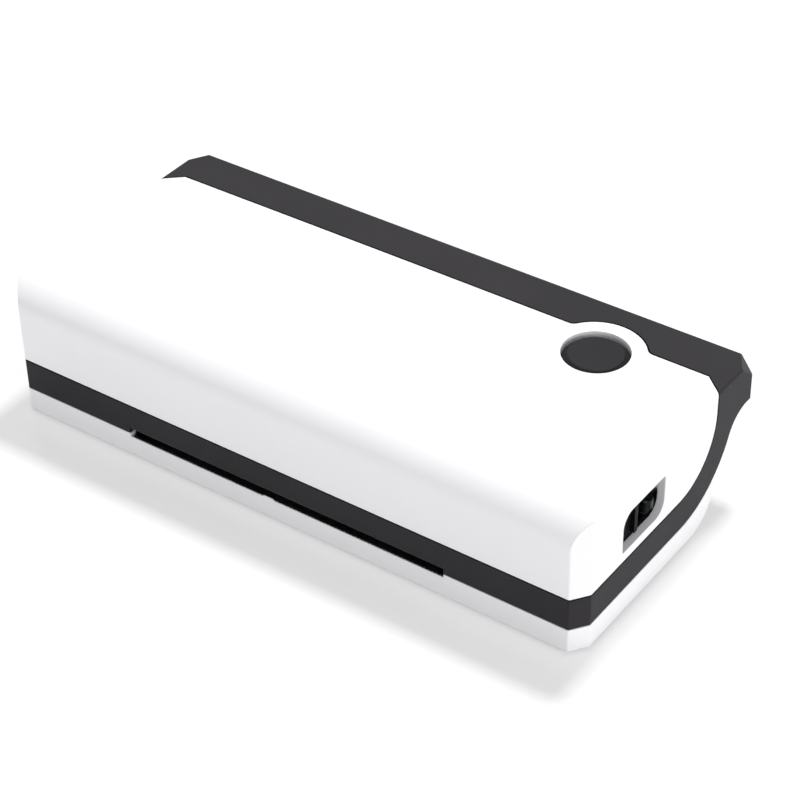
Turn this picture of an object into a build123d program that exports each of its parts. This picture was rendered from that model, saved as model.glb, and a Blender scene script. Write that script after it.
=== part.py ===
"""Compact desktop label printer: a low white box with a dark band that sweeps up to a hooded rear.

Frame: millimetres, +X to the printer's right, +Y to its rear, +Z up. The origin is on the desk,
under the middle of the box. Depths are named from the front face and placed by from_front().
"""

import os
from math import atan2, cos, degrees, hypot, pi, radians, sin, sqrt, tan

from build123d import *

# Overall box
WIDTH = 214.0
DEPTH = 97.0
HEIGHT = 48.6
SIDE_HEIGHT = 48.4
FRONT_CHAMFER_X = 4.0
FRONT_CHAMFER_Y = 5.5
HOOD_FACET_X = 4.7
HOOD_FACET_Y = 7.8
HOOD_FACET_Z = 6.7
CORNER_ROUND = 0.8
FRONT_TOP_RADIUS = 10.0
REAR_TOP_RADIUS = 1.2
SIDE_TOP_RADIUS = 1.0
INSET_CHAMFER_SHARE = 0.45
WALL = 2.5

# Clearances, and how far a cut runs past what it cuts
PARTING_GAP = 0.3
RUNNING_CLEARANCE = 0.3
SEAT_CLEARANCE = 0.05
OVERSHOOT = 5.0
NEARNESS = 0.05

# Dark band: its lower and upper edges run level, then sweep up to the rear hood
BAND_BOTTOM = 9.5
BAND_TOP = 20.8
LOWER_SWEEP_START = 56.7
LOWER_SWEEP_RADIUS = 30.1
LOWER_SWEEP_ANGLE = 65.25
HOOD_COVE_RADIUS = 11.2
HOOD_PANEL_OFFSET = 4.5
UPPER_SWEEP_START = 55.2
UPPER_SWEEP_RADIUS = 19.9
STRIP_FRONT = 80.9
STRIP_CHAMFER_X = 6.7
REVEAL_GAP = 0.6
TONGUE_THICKNESS = 1.4
TONGUE_REACH = 2.5

# Base
FLOOR_BOTTOM = 1.0
FLOOR_THICKNESS = 1.5
BASE_REAR = 77.0
BASE_REAR_RADIUS = 14.0
BASE_CORNER = 2.0
REAR_WALL_TOP = 26.5
REAR_WALL_FOOT = 14.0
LIP_THICKNESS = 1.4
LIP_INSET = 0.4
LIP_HEIGHT = 2.0
LIP_LENGTH = 40.0
LIP_DEPTH = 30.0
FRONT_LIP_LENGTH = 37.0
FRONT_LIP_SETBACK = 1.0

# Label path
SLOT_LENGTH = 120.0
SLOT_BOTTOM = 8.0
SLOT_TOP = 11.6
SLOT_REACH = 5.0
MEDIA_ENTRY_LENGTH = 124.0
MEDIA_ENTRY_BOTTOM = 20.0
TEAR_BAR_THICKNESS = 0.6
TEAR_BAR_LENGTH = 119.0
TEAR_BAR_REACH = 6.2
TEAR_BAR_SETBACK = 0.4

# Platen roller
PLATEN_RADIUS = 5.0
PLATEN_LENGTH = 116.0
PLATEN_DEPTH = 13.0
PLATEN_FLOOR_GAP = 0.5
PLATEN_SHAFT_RADIUS = 2.0
PLATEN_SHAFT_LEFT = -73.0
PLATEN_SHAFT_RIGHT = 66.0
BUSH_RADIUS = 3.6
BUSH_FLANGE_RADIUS = 4.4
BUSH_FLANGE = 0.8
NIP_GAP = 0.3

# Hinge
HINGE_SETBACK = 0.2
HINGE_PIN_RADIUS = 1.5
HINGE_PIN_HEAD = 0.8
HINGE_PIN_HEAD_RADIUS = 2.4
HINGE_EAR_RADIUS = 4.2
HINGE_EAR_INNER = 92.5
HINGE_EAR_THICKNESS = 3.0
HINGE_EAR_GAP = 0.3
HINGE_EAR_ROOT = 5.0
HINGE_EAR_ROOT_TURN = 37.0
LID_EAR_THICKNESS = 3.4
LID_ARM_HALF = 4.0
LID_ARM_TURN = 48.0

# Button
BUTTON_X = 66.2
BUTTON_DEPTH = 72.6
BUTTON_RADIUS = 10.5
BUTTON_CLEARANCE = 0.3
BUTTON_RING_RADIUS = 15.7
BUTTON_RING_BLEND = 3.0
BUTTON_TRAVEL = 1.2
BUTTON_CAP_HEIGHT = 4.0
BUTTON_RIM = 1.4
BUTTON_SINK = 0.5
BUTTON_FLANGE = 1.2
BUTTON_FLANGE_REACH = 1.4
BUTTON_STEM_RADIUS = 2.2
BUTTON_STEM_LENGTH = 3.0
BUTTON_WELL_WALL = 2.0
BUTTON_POST_X = 16.0
BUTTON_POST_RADIUS = 2.2
BUTTON_BOARD_LENGTH = 38.0
BUTTON_BOARD_WIDTH = 14.0
BUTTON_SPRING_RADIUS = 5.2
BUTTON_SPRING_TURNS = 4
TACT_SIZE = 6.0
TACT_HEIGHT = 1.5

# Finger window in each side, and the latch behind it
WINDOW_FRONT = 22.2
WINDOW_LENGTH = 23.3
WINDOW_BOTTOM = 24.0
WINDOW_HEIGHT = 13.5
WINDOW_ROUND = 5.0
WINDOW_CORNER = 0.8
LATCH_TRAVEL = 6.0
LATCH_BAR_FRONT = 30.0
LATCH_BAR_WIDTH = 9.0
LATCH_BAR_THICKNESS = 1.6
LATCH_BAR_BOTTOM = 41.5
LATCH_TAB_SETBACK = 0.6
LATCH_TAB_LENGTH = 9.4
LATCH_TAB_THICKNESS = 3.0
LATCH_RIB_WIDTH = 1.6
LATCH_RIB_HEIGHT = 1.6
LATCH_RIB_INSET = 1.5
LATCH_HOOK_FRONT = 34.0
LATCH_HOOK_LENGTH = 4.0
LATCH_HOOK_THICKNESS = 2.7
LATCH_HOOK_BOTTOM = 6.0
LATCH_NOSE_LENGTH = 3.5
LATCH_NOSE_HEIGHT = 3.0
LATCH_BRACKET_X = 84.0
LATCH_BRACKET_THICKNESS = 2.0
LATCH_BRACKET_FRONT = 27.0
LATCH_BRACKET_LENGTH = 21.0
LATCH_BRACKET_BOTTOM = 40.1
CATCH_THICKNESS = 2.5
CATCH_FRONT_GAP = 2.9
CATCH_LENGTH = 8.0
CATCH_POST = 3.4

# Chassis and deck
SIDE_PLATE_X = 62.0
SIDE_PLATE_THICKNESS = 2.0
SIDE_PLATE_FRONT = 7.0
DECK_TOP = 12.0
DECK_THICKNESS = 1.6
DECK_FRONT = 20.0
DECK_REAR = 66.0
RAMP_RISE = 7.5
GAP_SENSOR_X = 20.0
GAP_SENSOR_DEPTH = 26.0
GAP_SENSOR_SIZE = 4.0

# Gear train
GEAR_MODULE = 0.6
GEAR_WIDTH = 4.0
GEAR_LEFT = -71.0
PLATEN_TEETH = 15
IDLER_TEETH = 34
PINION_TEETH = 12
PRESSURE_ANGLE = 25.0
ADDENDUM = 0.85
DEDENDUM = 1.15
BACKLASH = 0.12
FLANK_STEPS = 4
IDLER_RISE = 8.0
MOTOR_RISE = 6.0
IDLER_AXLE_RADIUS = 1.5
IDLER_AXLE_HEAD = 0.8
IDLER_AXLE_HEAD_RADIUS = 2.5
MOTOR_RADIUS = 17.5
MOTOR_LENGTH = 18.0
MOTOR_SHAFT_RADIUS = 1.0
MOTOR_SHAFT_DEPTH = 4.5
MOTOR_BOSS_RADIUS = 5.0
MOTOR_PLATE_LEFT = -75.5
MOTOR_PLATE_THICKNESS = 1.5
MOTOR_PLATE_FRONT = 20.0
MOTOR_PLATE_LENGTH = 37.0
MOTOR_PLATE_TOP = 36.0
MOTOR_PLATE_FOOT = 6.0

# Paper guides
GUIDE_MODULE = 1.0
GUIDE_TEETH = 12
GUIDE_TRAVEL = 34.0
GUIDE_REST_X = 56.0
GUIDE_DEPTH = 47.0
GUIDE_HEIGHT = 8.7
GUIDE_THICKNESS = 2.0
GUIDE_LENGTH = 26.0
GUIDE_STEM_LENGTH = 3.0
RACK_THICKNESS = 2.0
RACK_BACK = 2.0
RACK_OVERRUN = 4.0
GUIDE_PIN_RADIUS = 1.5
GUIDE_PIN_HEAD_RADIUS = 2.8
GUIDE_PIN_HEAD = 0.8

# Print head
HEAD_LENGTH = 112.0
HEAD_WIDTH = 14.0
HEAD_FRONT = 6.0
HEAD_PLATE = 1.2
HEAT_SINK_HEIGHT = 4.5
HEAD_GUIDE_X = 50.0
HEAD_GUIDE_RADIUS = 1.5
HEAD_GUIDE_CLEARANCE = 0.08
HEAD_GUIDE_DIP = 3.0
HEAD_TRAVEL = 0.8
HEAD_SPRING_LENGTH = 5.5
HEAD_SPRING_RADIUS = 2.2
HEAD_SPRING_TURNS = 5
HEAD_SPRING_X = 40.0
SPRING_WIRE = 0.5
CARRIER_LENGTH = 114.0
CARRIER_THICKNESS = 1.6
CARRIER_SETBACK = 1.0
CARRIER_WIDTH = 17.0
CARRIER_WEB_X = 30.0
CARRIER_WEB_THICKNESS = 2.0
CARRIER_WEB_WIDTH = 11.0

# Electronics
BOARD_THICKNESS = 1.6
BOARD_LEFT = 66.0
BOARD_WIDTH = 30.0
BOARD_FRONT = 22.0
BOARD_LENGTH = 50.0
PORT_LENGTH = 10.5
PORT_SETBACK = 1.0
PORT_WALL = 1.0
USB_X = 84.6
USB_WIDTH = 12.0
USB_HEIGHT = 11.0
USB_POCKET = 8.0
JACK_X = 72.0
JACK_WIDTH = 9.0
JACK_HEIGHT = 10.0
JACK_BORE = 3.2
SWITCH_X = -78.0
SWITCH_WIDTH = 19.0
SWITCH_HEIGHT = 12.0
SWITCH_BOTTOM = 8.0
SWITCH_BODY_LENGTH = 11.0
SWITCH_PIVOT_DEPTH = 73.0
SWITCH_KEY_HALF = 6.8
SWITCH_KEY_HEEL_SHARE = 0.8
SWITCH_KEY_HEIGHT = 7.4
SWITCH_ROCK = 8.0
SWITCH_PIN_RADIUS = 0.8

# Fasteners and feet
FOOT_RADIUS = 5.0
FOOT_THICKNESS = 1.5
FOOT_X = 92.0
FOOT_FRONT = 12.0
FOOT_REAR = 58.0
SCREW_RADIUS = 1.4
SCREW_HEAD_RADIUS = 2.6
SCREW_HEAD_HEIGHT = 1.0
SCREW_LENGTH = 3.6
SCREW_X = 80.0
SCREW_FRONT_LEFT = 12.0
SCREW_FRONT_RIGHT = 27.0
SCREW_REAR = 60.0
BOSS_RADIUS = 3.6
BOSS_HEIGHT = 3.0

# Heights and planes that several pieces share
FLOOR_TOP = FLOOR_BOTTOM + FLOOR_THICKNESS
BOSS_TOP = FLOOR_TOP + BOSS_HEIGHT
BOARD_TOP = BOSS_TOP + BOARD_THICKNESS
PLATEN_HEIGHT = FLOOR_TOP + PLATEN_FLOOR_GAP + PLATEN_RADIUS
SIDE_INNER = WIDTH / 2 - WALL
REAR_WALL_HALF = SIDE_INNER - TONGUE_THICKNESS - RUNNING_CLEARANCE
SIDES = ("left", -1), ("right", 1)


def from_front(depth):
    """The Y of a point that lies this far behind the front face."""
    return depth - DEPTH / 2


def side_point(depth, height):
    """A point of the YZ plane from its depth behind the front face and its height."""
    return (from_front(depth), height)


def yz_plane(x):
    """The plane of a side profile at this X, with Y to its right and Z up."""
    return Plane(origin=(x, 0, 0), x_dir=(0, 1, 0), z_dir=(1, 0, 0))


def block(xs, depths, zs, mode=Mode.ADD):
    """A box between two X, two depths behind the front face and two heights."""
    with Locations((sum(xs) / 2, from_front(sum(depths) / 2), sum(zs) / 2)):
        Box(abs(xs[1] - xs[0]), depths[1] - depths[0], zs[1] - zs[0], mode=mode)


def rod(xs, centre, radius, mode=Mode.ADD):
    """A round bar along X between two X, about a point of the YZ plane."""
    with Locations(Location((sum(xs) / 2, *centre), (0, 90, 0))):
        Cylinder(radius, abs(xs[1] - xs[0]), mode=mode)


def post(x, depth, zs, radius, mode=Mode.ADD):
    """A round upright between two heights."""
    with Locations((x, from_front(depth), sum(zs) / 2)):
        Cylinder(radius, zs[1] - zs[0], mode=mode)


def outline(inset, rear, front_cut, rear_cut=None):
    """Corners of the plan outline, drawn in by the inset, each cut off where a cut is given."""
    half = WIDTH / 2 - inset
    near, far = from_front(0) + inset, from_front(rear) - inset
    ease = inset * INSET_CHAMFER_SHARE
    fx, fy = front_cut[0] - ease, front_cut[1] - ease
    rear_corners = [(half, far), (-half, far)]
    if rear_cut:
        rx, ry = rear_cut[0] - ease, rear_cut[1] - ease
        rear_corners = [(half, far - ry), (half - rx, far), (-half + rx, far), (-half, far - ry)]
    return [(-half + fx, near), (half - fx, near), (half, near + fy), *rear_corners, (-half, near + fy)]


def hood_facet(side, inset):
    """The slanting plane that cuts off one upper rear corner, facing outwards."""
    normal = Vector(side / HOOD_FACET_X, 1 / HOOD_FACET_Y, 1 / HOOD_FACET_Z).normalized()
    edge = Vector(side * (WIDTH / 2 - HOOD_FACET_X), from_front(DEPTH), SIDE_HEIGHT)
    return Plane(origin=edge - normal * inset, z_dir=normal)


def sweep_points(drop):
    """Named points of the band's lower edge, moved out of the lid by the drop."""
    centre = side_point(LOWER_SWEEP_START, BAND_BOTTOM + LOWER_SWEEP_RADIUS)
    radius = LOWER_SWEEP_RADIUS + drop
    turn = radians(LOWER_SWEEP_ANGLE)
    arc_end = (centre[0] + radius * sin(turn), centre[1] - radius * cos(turn))
    mid = (centre[0] + radius * sin(turn / 2), centre[1] - radius * cos(turn / 2))
    cove = HOOD_COVE_RADIUS - drop
    cove_centre = (arc_end[0] + cove * sin(turn), arc_end[1] - cove * cos(turn))
    cove_mid = (cove_centre[0] - cove * sin(turn / 2), cove_centre[1] + cove * cos(turn / 2))
    cove_end = (cove_centre[0], cove_centre[1] + cove)
    return {
        "start": (centre[0], BAND_BOTTOM - drop), "mid": mid, "arc_end": arc_end,
        "cove_mid": cove_mid, "cove_end": cove_end,
    }


def sweep_height(depth, drop):
    """The height of the band's lower edge at a depth within its large arc."""
    run = depth - LOWER_SWEEP_START
    return BAND_BOTTOM + LOWER_SWEEP_RADIUS - sqrt((LOWER_SWEEP_RADIUS + drop) ** 2 - run**2)


def lid_region(drop):
    """Side profile of everything above the band's lower edge, in depth and height."""
    p = sweep_points(drop)
    near, far, top = from_front(-OVERSHOOT), from_front(DEPTH + OVERSHOOT), HEIGHT + OVERSHOOT
    lip = p["cove_end"][1]
    with BuildSketch() as region:
        with BuildLine():
            Polyline((near, top), (near, p["start"][1]), p["start"])
            ThreePointArc(p["start"], p["mid"], p["arc_end"])
            ThreePointArc(p["arc_end"], p["cove_mid"], p["cove_end"])
            Polyline(p["cove_end"], (far, lip), (far, top), (near, top))
        make_face()
    return region.sketch_local


def cover_region(grow):
    """Side profile of everything above the band's upper edge, grown by a gap."""
    radius = UPPER_SWEEP_RADIUS + grow
    start = side_point(UPPER_SWEEP_START, BAND_TOP - grow)
    centre = side_point(UPPER_SWEEP_START, BAND_TOP + UPPER_SWEEP_RADIUS)
    mid = (centre[0] + radius * sin(pi / 4), centre[1] - radius * cos(pi / 4))
    end = (centre[0] + sqrt(radius**2 - grow**2), centre[1] - grow)
    near, far, top = from_front(-OVERSHOOT), from_front(DEPTH + OVERSHOOT), HEIGHT + OVERSHOOT
    with BuildSketch() as region:
        with BuildLine():
            Polyline((near, top), (near, start[1]), start)
            ThreePointArc(start, mid, end)
            Polyline(end, (far, end[1]), (far, top), (near, top))
        make_face()
    return region.sketch_local


def cover_plan(grow):
    """Plan of the white cover: up to the strip, with a round tab about the button."""
    half, side = WIDTH / 2 + OVERSHOOT, WIDTH / 2
    front = from_front(-OVERSHOOT)
    strip = from_front(STRIP_FRONT) + grow
    side_end = from_front(UPPER_SWEEP_START + UPPER_SWEEP_RADIUS) + grow
    with BuildSketch() as plan:
        with BuildLine():
            Polyline(
                (-half, front), (half, front), (half, side_end), (side, side_end),
                (side - STRIP_CHAMFER_X, strip), (-side + STRIP_CHAMFER_X, strip),
                (-side, side_end), (-half, side_end), close=True,
            )
        make_face()
        with Locations((BUTTON_X, from_front(BUTTON_DEPTH))):
            Circle(BUTTON_RING_RADIUS + grow)
        waist = plan.vertices().filter_by_position(Axis.Y, strip - NEARNESS, strip + NEARNESS)
        reach = BUTTON_RING_RADIUS + grow
        fillet([v for v in waist if abs(v.X - BUTTON_X) < reach], BUTTON_RING_BLEND)
    return plan.sketch_local


def envelope(inset):
    """The lid's whole outer form, drawn in by the inset on every wall."""
    half, side, top = WIDTH / 2 - inset, SIDE_HEIGHT - inset, HEIGHT - inset
    near, far = from_front(0) + inset, from_front(DEPTH) - inset
    with BuildPart() as form:
        with BuildSketch(Plane.XY) as plan:
            with BuildLine():
                Polyline(*outline(inset, DEPTH, (FRONT_CHAMFER_X, FRONT_CHAMFER_Y)), close=True)
            make_face()
            fillet(plan.vertices(), CORNER_ROUND)
        extrude(amount=HEIGHT + OVERSHOOT)
        with BuildSketch(Plane.XZ.offset(-DEPTH)) as section:
            with BuildLine():
                Polyline((-half, side), (-half, 0), (half, 0), (half, side))
                ThreePointArc((half, side), (0, top), (-half, side))
            make_face()
            fillet(section.vertices().group_by(Axis.Y)[-1], SIDE_TOP_RADIUS)
        extrude(amount=2 * DEPTH, mode=Mode.INTERSECT)
        with BuildSketch(yz_plane(-WIDTH)) as flank:
            with BuildLine():
                Polyline((near, -1), (far, -1), (far, top), (near, top), close=True)
            make_face()
            fillet(flank.vertices().group_by(Axis.Y)[-1].sort_by(Axis.X)[0], FRONT_TOP_RADIUS - inset)
            rear_round = max(REAR_TOP_RADIUS - inset, CORNER_ROUND)
            fillet(flank.vertices().group_by(Axis.Y)[-1].sort_by(Axis.X)[-1], rear_round)
        extrude(amount=2 * WIDTH, mode=Mode.INTERSECT)
        for _, side_sign in SIDES:
            split(bisect_by=hood_facet(side_sign, inset), keep=Keep.BOTTOM)
    return form.part


def prism(region):
    """A side profile carried across the whole width."""
    with BuildPart() as carried:
        with BuildSketch(yz_plane(-WIDTH)):
            add(region)
        extrude(amount=2 * WIDTH)
    return carried.part


def cover_block(grow):
    """The space of the white cover: its side profile and its plan together."""
    with BuildPart() as space:
        add(prism(cover_region(grow)))
        with BuildSketch(Plane.XY):
            add(cover_plan(grow))
        extrude(amount=HEIGHT + 2 * OVERSHOOT, mode=Mode.INTERSECT)
    return space.part


def base_form(inset):
    """The base's outer form, or with an inset its hollow, up to the lid's sweep."""
    near, far = from_front(0) + inset, from_front(BASE_REAR) - inset
    floor = FLOOR_TOP if inset else FLOOR_BOTTOM
    with BuildPart() as form:
        with BuildSketch(Plane.XY.offset(floor)) as plan:
            cuts = (FRONT_CHAMFER_X, FRONT_CHAMFER_Y), (BASE_CORNER, BASE_CORNER)
            with BuildLine():
                Polyline(*outline(inset, BASE_REAR, *cuts), close=True)
            make_face()
            fillet(plan.vertices(), CORNER_ROUND)
        extrude(amount=HEIGHT)
        with BuildSketch(yz_plane(-WIDTH)) as flank:
            with BuildLine():
                Polyline((near, floor), (far, floor), (far, HEIGHT), (near, HEIGHT), close=True)
            make_face()
            fillet(flank.vertices().group_by(Axis.Y)[0].sort_by(Axis.X)[-1], BASE_REAR_RADIUS - inset)
        extrude(amount=2 * WIDTH, mode=Mode.INTERSECT)
    return form.part


def gear_outline(teeth, module, phase):
    """Corner points of an involute gear, with a tooth centred at the phase angle."""
    pitch = module * teeth / 2
    base = pitch * cos(radians(PRESSURE_ANGLE))
    tip, root = pitch + ADDENDUM * module, pitch - DEDENDUM * module
    low = max(base, root)

    def involute(radius):
        roll = sqrt(max((radius / base) ** 2 - 1, 0))
        return roll - atan2(roll, 1)

    half_tooth = pi / (2 * teeth) - BACKLASH / (2 * pitch) + involute(pitch)
    radii = [low + (tip - low) * step / FLANK_STEPS for step in range(FLANK_STEPS + 1)]
    flank = [(radius, half_tooth - involute(radius)) for radius in radii]
    if root < base:
        flank.insert(0, (root, half_tooth))
    points = []
    for tooth in range(teeth):
        middle = radians(phase) + 2 * pi * tooth / teeth
        for radius, angle in flank:
            points.append((radius * cos(middle - angle), radius * sin(middle - angle)))
        for radius, angle in reversed(flank):
            points.append((radius * cos(middle + angle), radius * sin(middle + angle)))
    return points


def gear(teeth, phase, centre, bore):
    """One gear of the feed train, with its bore."""
    with BuildPart() as wheel:
        with BuildSketch(yz_plane(GEAR_LEFT)):
            with Locations(centre):
                Polygon(*gear_outline(teeth, GEAR_MODULE, phase), align=None)
                Circle(bore, mode=Mode.SUBTRACT)
        extrude(amount=GEAR_WIDTH)
    return wheel


def spring_coil(radius, height, turns, x, depth, foot):
    """One round-wire spring that stands on its foot height."""
    rise = height - SPRING_WIRE
    start = (x, from_front(depth), foot + SPRING_WIRE / 2)
    with BuildPart() as coil:
        with BuildLine():
            path = Helix(pitch=rise / turns, height=rise, radius=radius - SPRING_WIRE / 2, center=start)
        with BuildSketch(Plane(origin=path @ 0, z_dir=path % 0)):
            Circle(SPRING_WIRE / 2)
        sweep(path=path)
    return coil


def save(piece, name):
    """Label one finished piece and write it to its own file."""
    piece.part.label = name
    export_step(piece.part, f"parts/{name}.step")
    print(f"{name}: {len(piece.part.solids())} solid(s), {piece.part.volume:.0f} mm3")


os.makedirs("parts", exist_ok=True)
outer = envelope(0)
inner = envelope(WALL)
cover_space = cover_block(0)

hinge_depth = BASE_REAR + HINGE_SETBACK
hinge = side_point(hinge_depth, sweep_height(hinge_depth, 0))

# Lid: white cover, with the button's well, two board posts and the finger windows
button_y = from_front(BUTTON_DEPTH)
crown_drop = (HEIGHT - SIDE_HEIGHT) * (BUTTON_X / (WIDTH / 2)) ** 2
cover_underside = HEIGHT - WALL - crown_drop
button_face = HEIGHT - crown_drop - BUTTON_SINK
well_bottom = button_face - BUTTON_CAP_HEIGHT
flange_top = well_bottom - RUNNING_CLEARANCE
flange_bottom = flange_top - BUTTON_FLANGE
stem_end = flange_bottom - BUTTON_STEM_LENGTH
tact_top = stem_end - BUTTON_TRAVEL - SEAT_CLEARANCE
button_board_top = tact_top - TACT_HEIGHT
well_radius = BUTTON_RADIUS + BUTTON_CLEARANCE
post_xs = (BUTTON_X - BUTTON_POST_X, BUTTON_X + BUTTON_POST_X)

with BuildPart() as lid_cover:
    add(outer)
    add(inner, mode=Mode.SUBTRACT)
    add(cover_space, mode=Mode.INTERSECT)
    post(BUTTON_X, BUTTON_DEPTH, (well_bottom, cover_underside + WALL / 2), well_radius + BUTTON_WELL_WALL)
    for post_x in post_xs:
        post(post_x, BUTTON_DEPTH, (button_board_top, cover_underside + WALL / 2), BUTTON_POST_RADIUS)
    post(BUTTON_X, BUTTON_DEPTH, (flange_bottom, HEIGHT + WALL), well_radius, Mode.SUBTRACT)
    with BuildSketch(yz_plane(-WIDTH)) as window:
        with Locations(side_point(WINDOW_FRONT + WINDOW_LENGTH / 2, WINDOW_BOTTOM + WINDOW_HEIGHT / 2)):
            Rectangle(WINDOW_LENGTH, WINDOW_HEIGHT)
        broad = [window.vertices().group_by(Axis.Y)[-1].sort_by(Axis.X)[0]]
        broad.append(window.vertices().group_by(Axis.Y)[0].sort_by(Axis.X)[-1])
        sharp = [v for v in window.vertices() if v not in broad]
        fillet(broad, WINDOW_ROUND)
        corners = [v for v in window.vertices() if any(v.distance_to(s) < NEARNESS for s in sharp)]
        fillet(corners, WINDOW_CORNER)
    extrude(amount=2 * WIDTH, mode=Mode.SUBTRACT)
save(lid_cover, "lid_cover")

# Lid: dark band, strip and rear hood, with a tongue behind the cover's edge and two hinge ears
ear_low = HINGE_EAR_INNER + HINGE_EAR_THICKNESS + HINGE_EAR_GAP
ear_spans = (ear_low, ear_low + LID_EAR_THICKNESS), (-ear_low - LID_EAR_THICKNESS, -ear_low)
cove = sweep_points(0)
arm_top = (cove["arc_end"][0] + WALL / 2, cove["arc_end"][1] + HINGE_EAR_RADIUS)
arm_x, arm_z = LID_ARM_HALF * cos(radians(LID_ARM_TURN)), LID_ARM_HALF * sin(radians(LID_ARM_TURN))
arm = (
    (hinge[0] - arm_x, hinge[1] + arm_z), (hinge[0] + arm_x, hinge[1] - arm_z),
    arm_top, (arm_top[0] - HINGE_EAR_RADIUS, arm_top[1]),
)
hood_start = BASE_REAR + HOOD_PANEL_OFFSET
with BuildPart() as trim_band:
    add(outer)
    add(inner, mode=Mode.SUBTRACT)
    add(prism(lid_region(0)), mode=Mode.INTERSECT)
    add(cover_block(REVEAL_GAP), mode=Mode.SUBTRACT)
    with BuildSketch(yz_plane(-WIDTH / 2 + WALL / 2)):
        add(lid_region(0))
        add(lid_region(-WALL), mode=Mode.SUBTRACT)
        with Locations(side_point((hood_start + DEPTH - WALL / 2) / 2, HEIGHT / 2)):
            Rectangle(DEPTH - WALL / 2 - hood_start, HEIGHT, mode=Mode.INTERSECT)
    extrude(amount=WIDTH - WALL)
    with BuildPart(mode=Mode.PRIVATE) as tongue:
        add(inner)
        add(envelope(WALL + TONGUE_THICKNESS), mode=Mode.SUBTRACT)
        add(cover_block(TONGUE_REACH), mode=Mode.INTERSECT)
        add(cover_block(-TONGUE_REACH), mode=Mode.SUBTRACT)
    add(tongue.part)
    for span in ear_spans:
        with BuildSketch(yz_plane(span[0])):
            with Locations(hinge):
                Circle(HINGE_EAR_RADIUS)
            with BuildLine():
                Polyline(*arm, close=True)
            make_face()
            with Locations(hinge):
                Circle(HINGE_PIN_RADIUS + SEAT_CLEARANCE, mode=Mode.SUBTRACT)
        extrude(amount=LID_EAR_THICKNESS)
    block((-SLOT_LENGTH / 2, SLOT_LENGTH / 2), (-OVERSHOOT, SLOT_REACH), (0, SLOT_TOP), Mode.SUBTRACT)
save(trim_band, "trim_band")

# Lid: the small board under the button, its switch and its spring
board_span = (BUTTON_X - BUTTON_BOARD_LENGTH / 2, BUTTON_X + BUTTON_BOARD_LENGTH / 2)
board_depths = (BUTTON_DEPTH - BUTTON_BOARD_WIDTH / 2, BUTTON_DEPTH + BUTTON_BOARD_WIDTH / 2)
with BuildPart() as button_board:
    block(board_span, board_depths, (button_board_top - BOARD_THICKNESS, button_board_top))
save(button_board, "button_board")

tact_span = (BUTTON_X - TACT_SIZE / 2, BUTTON_X + TACT_SIZE / 2)
tact_depths = (BUTTON_DEPTH - TACT_SIZE / 2, BUTTON_DEPTH + TACT_SIZE / 2)
with BuildPart() as tact_switch:
    block(tact_span, tact_depths, (button_board_top, tact_top))
save(tact_switch, "tact_switch")

spring_height = flange_bottom - button_board_top
button_spring = spring_coil(
    BUTTON_SPRING_RADIUS, spring_height, BUTTON_SPRING_TURNS, BUTTON_X, BUTTON_DEPTH, button_board_top
)
save(button_spring, "button_spring")

# Button: a round cap with a flange that holds it in the well, and a stem
with BuildPart() as button_cap:
    post(BUTTON_X, BUTTON_DEPTH, (flange_top, button_face), BUTTON_RADIUS)
    fillet(button_cap.edges().group_by(Axis.Z)[-1], BUTTON_RIM)
    post(BUTTON_X, BUTTON_DEPTH, (flange_bottom, flange_top), BUTTON_RADIUS + BUTTON_FLANGE_REACH)
    post(BUTTON_X, BUTTON_DEPTH, (stem_end, flange_bottom), BUTTON_STEM_RADIUS)
save(button_cap, "button_cap")

# Latch: a bar across the lid, a finger tab behind each window and a hook at each end
bar_half = SIDE_INNER - RUNNING_CLEARANCE - LATCH_TAB_THICKNESS
bar_depths = (LATCH_BAR_FRONT, LATCH_BAR_FRONT + LATCH_BAR_WIDTH)
bar_top = LATCH_BAR_BOTTOM + LATCH_BAR_THICKNESS
with BuildPart() as latch_bar:
    block((-bar_half, bar_half), bar_depths, (LATCH_BAR_BOTTOM, bar_top))
save(latch_bar, "latch_bar")

tab_front = WINDOW_FRONT + LATCH_TAB_SETBACK
tab_depths = (tab_front, tab_front + LATCH_TAB_LENGTH)
tab_outer = bar_half + LATCH_TAB_THICKNESS
rib_depths = (tab_depths[1] - LATCH_RIB_WIDTH, tab_depths[1])
rib_heights = (WINDOW_BOTTOM + LATCH_RIB_INSET, WINDOW_BOTTOM + WINDOW_HEIGHT - LATCH_RIB_INSET)
tab_bottom = BAND_TOP + TONGUE_REACH + RUNNING_CLEARANCE
hook_depths = (LATCH_HOOK_FRONT, LATCH_HOOK_FRONT + LATCH_HOOK_LENGTH)
nose_rear = hook_depths[1] + LATCH_NOSE_LENGTH
nose_top = LATCH_HOOK_BOTTOM + LATCH_NOSE_HEIGHT
for side_name, side in SIDES:
    with BuildPart() as latch_tab:
        block((side * bar_half, side * tab_outer), tab_depths, (tab_bottom, bar_top))
        block((side * tab_outer, side * (tab_outer + LATCH_RIB_HEIGHT)), rib_depths, rib_heights)
    save(latch_tab, f"latch_tab_{side_name}")
    hook_span = (side * (bar_half - LATCH_HOOK_THICKNESS), side * bar_half)
    with BuildPart() as latch_hook:
        block(hook_span, hook_depths, (LATCH_HOOK_BOTTOM, LATCH_BAR_BOTTOM))
        block(hook_span, (hook_depths[0], nose_rear), (LATCH_HOOK_BOTTOM, nose_top))
        chamfer(latch_hook.edges().group_by(Axis.Z)[0].sort_by(Axis.Y)[-1], LATCH_NOSE_HEIGHT / 2)
    save(latch_hook, f"latch_hook_{side_name}")

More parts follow.
